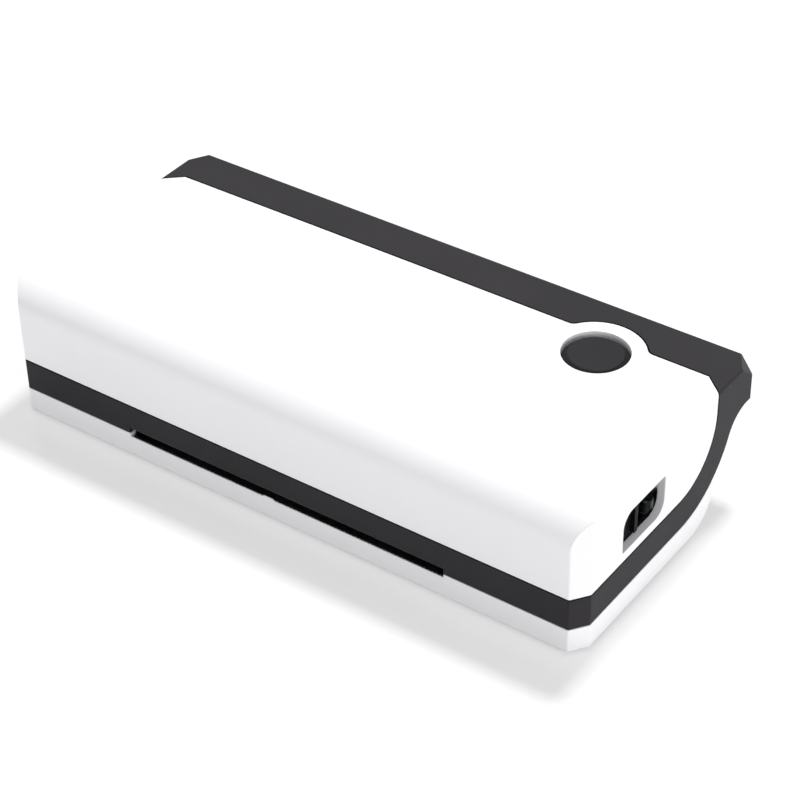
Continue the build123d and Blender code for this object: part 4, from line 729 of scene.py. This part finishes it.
# Floor: white, and for the camera partly bright of itself, which lightens the shadow
FLOOR_HALF, FLOOR_ROUGHNESS, FLOOR_SHINE, FLOOR_GLOW = 6.0, 0.22, 0.5, 0.42
floor_corners = [(x * FLOOR_HALF, y * FLOOR_HALF, 0) for x, y in ((-1, -1), (1, -1), (1, 1), (-1, 1))]
floor_mesh = bpy.data.meshes.new("floor")
floor_mesh.from_pydata(floor_corners, [], [(0, 1, 2, 3)])
floor = bpy.data.objects.new("floor", floor_mesh)
bpy.context.scene.collection.objects.link(floor)
s = Shader("floor_look")
slow = s.noise(FLOOR_SCALE, FLOOR_DETAIL)
s.finish(s.mix(s.remap(slow, 0.0, 1.0), FLOOR_DARK, FLOOR_LIGHT), FLOOR_ROUGHNESS)
s.fill(s.bsdf, Specular_IOR_Level=FLOOR_SHINE)
path = s.node("ShaderNodeLightPath")
glow = s.node("ShaderNodeEmission")
s.fill(glow, Color=(1, 1, 1, 1))
blend = s.node("ShaderNodeMixShader")
seen = s.node("ShaderNodeMath", operation="MULTIPLY")
seen.inputs[1].default_value = FLOOR_GLOW
s.link(path.outputs["Is Camera Ray"], seen.inputs[0])
s.link(seen.outputs["Value"], blend.inputs["Fac"])
s.link(s.bsdf.outputs["BSDF"], blend.inputs[1])
s.link(glow.outputs["Emission"], blend.inputs[2])
s.link(blend.outputs["Shader"], s.tree.nodes["Material Output"].inputs["Surface"])
floor.data.materials.append(s.material)

# World: an even light, and white to the camera and in glossy and clear materials
AMBIENT = 0.54
SHOWN = 1.0
world = bpy.data.worlds.new("studio")
bpy.context.scene.world = world
world.use_nodes = True
tree = world.node_tree
back = tree.nodes["Background"]
back.inputs["Color"].default_value = (1, 1, 1, 1)
path = tree.nodes.new("ShaderNodeLightPath")
shown = path.outputs["Is Camera Ray"]
for ray in ("Is Glossy Ray", "Is Transmission Ray"):
    either = tree.nodes.new("ShaderNodeMath")
    either.operation = "MAXIMUM"
    tree.links.new(shown, either.inputs[0])
    tree.links.new(path.outputs[ray], either.inputs[1])
    shown = either.outputs["Value"]
level = tree.nodes.new("ShaderNodeMapRange")
level.inputs["To Min"].default_value = AMBIENT
level.inputs["To Max"].default_value = SHOWN
tree.links.new(shown, level.inputs["Value"])
tree.links.new(level.outputs["Result"], back.inputs["Strength"])

# Lamps: name, place, size and power, all of them aimed at the printer
LAMP_AIM = Vector((0, 0, 0.02))
LAMPS = (
    ("key", (0.0, 0.50, 1.20), 0.16, 12.0),
    ("right", (1.05, -0.10, 0.18), 0.50, 4.4),
    ("front", (-0.15, -1.10, 0.14), 0.60, 2.4),
)
for name, place, size, power in LAMPS:
    data = bpy.data.lights.new(name, "AREA")
    data.energy = power
    data.size = size
    lamp = bpy.data.objects.new(name, data)
    lamp.location = place
    lamp.rotation_mode = "QUATERNION"
    lamp.rotation_quaternion = (LAMP_AIM - Vector(place)).to_track_quat("-Z", "Y")
    bpy.context.scene.collection.objects.link(lamp)

# Camera, fitted to the photograph
CAMERA_SPOT = (0.363589, -0.486232, 0.478214)
RIGHT = Vector((0.8163, 0.5774, -0.01655))
DOWN = Vector((0.33852, -0.50141, -0.79623))
AHEAD = Vector((-0.46804, 0.64436, -0.60476))
LENS, SENSOR_WIDTH = 108.71, 36.0
CLIP_NEAR, CLIP_FAR = 0.01, 50.0
camera_data = bpy.data.cameras.new("camera")
camera_data.lens = LENS
camera_data.sensor_width = SENSOR_WIDTH
camera_data.clip_start, camera_data.clip_end = CLIP_NEAR, CLIP_FAR
camera = bpy.data.objects.new("camera", camera_data)
turned = Matrix((RIGHT, -DOWN, -AHEAD)).transposed().to_4x4()
camera.matrix_world = Matrix.Translation(CAMERA_SPOT) @ turned
bpy.context.scene.collection.objects.link(camera)
bpy.context.scene.camera = camera
bpy.context.scene.view_settings.view_transform = "Standard"
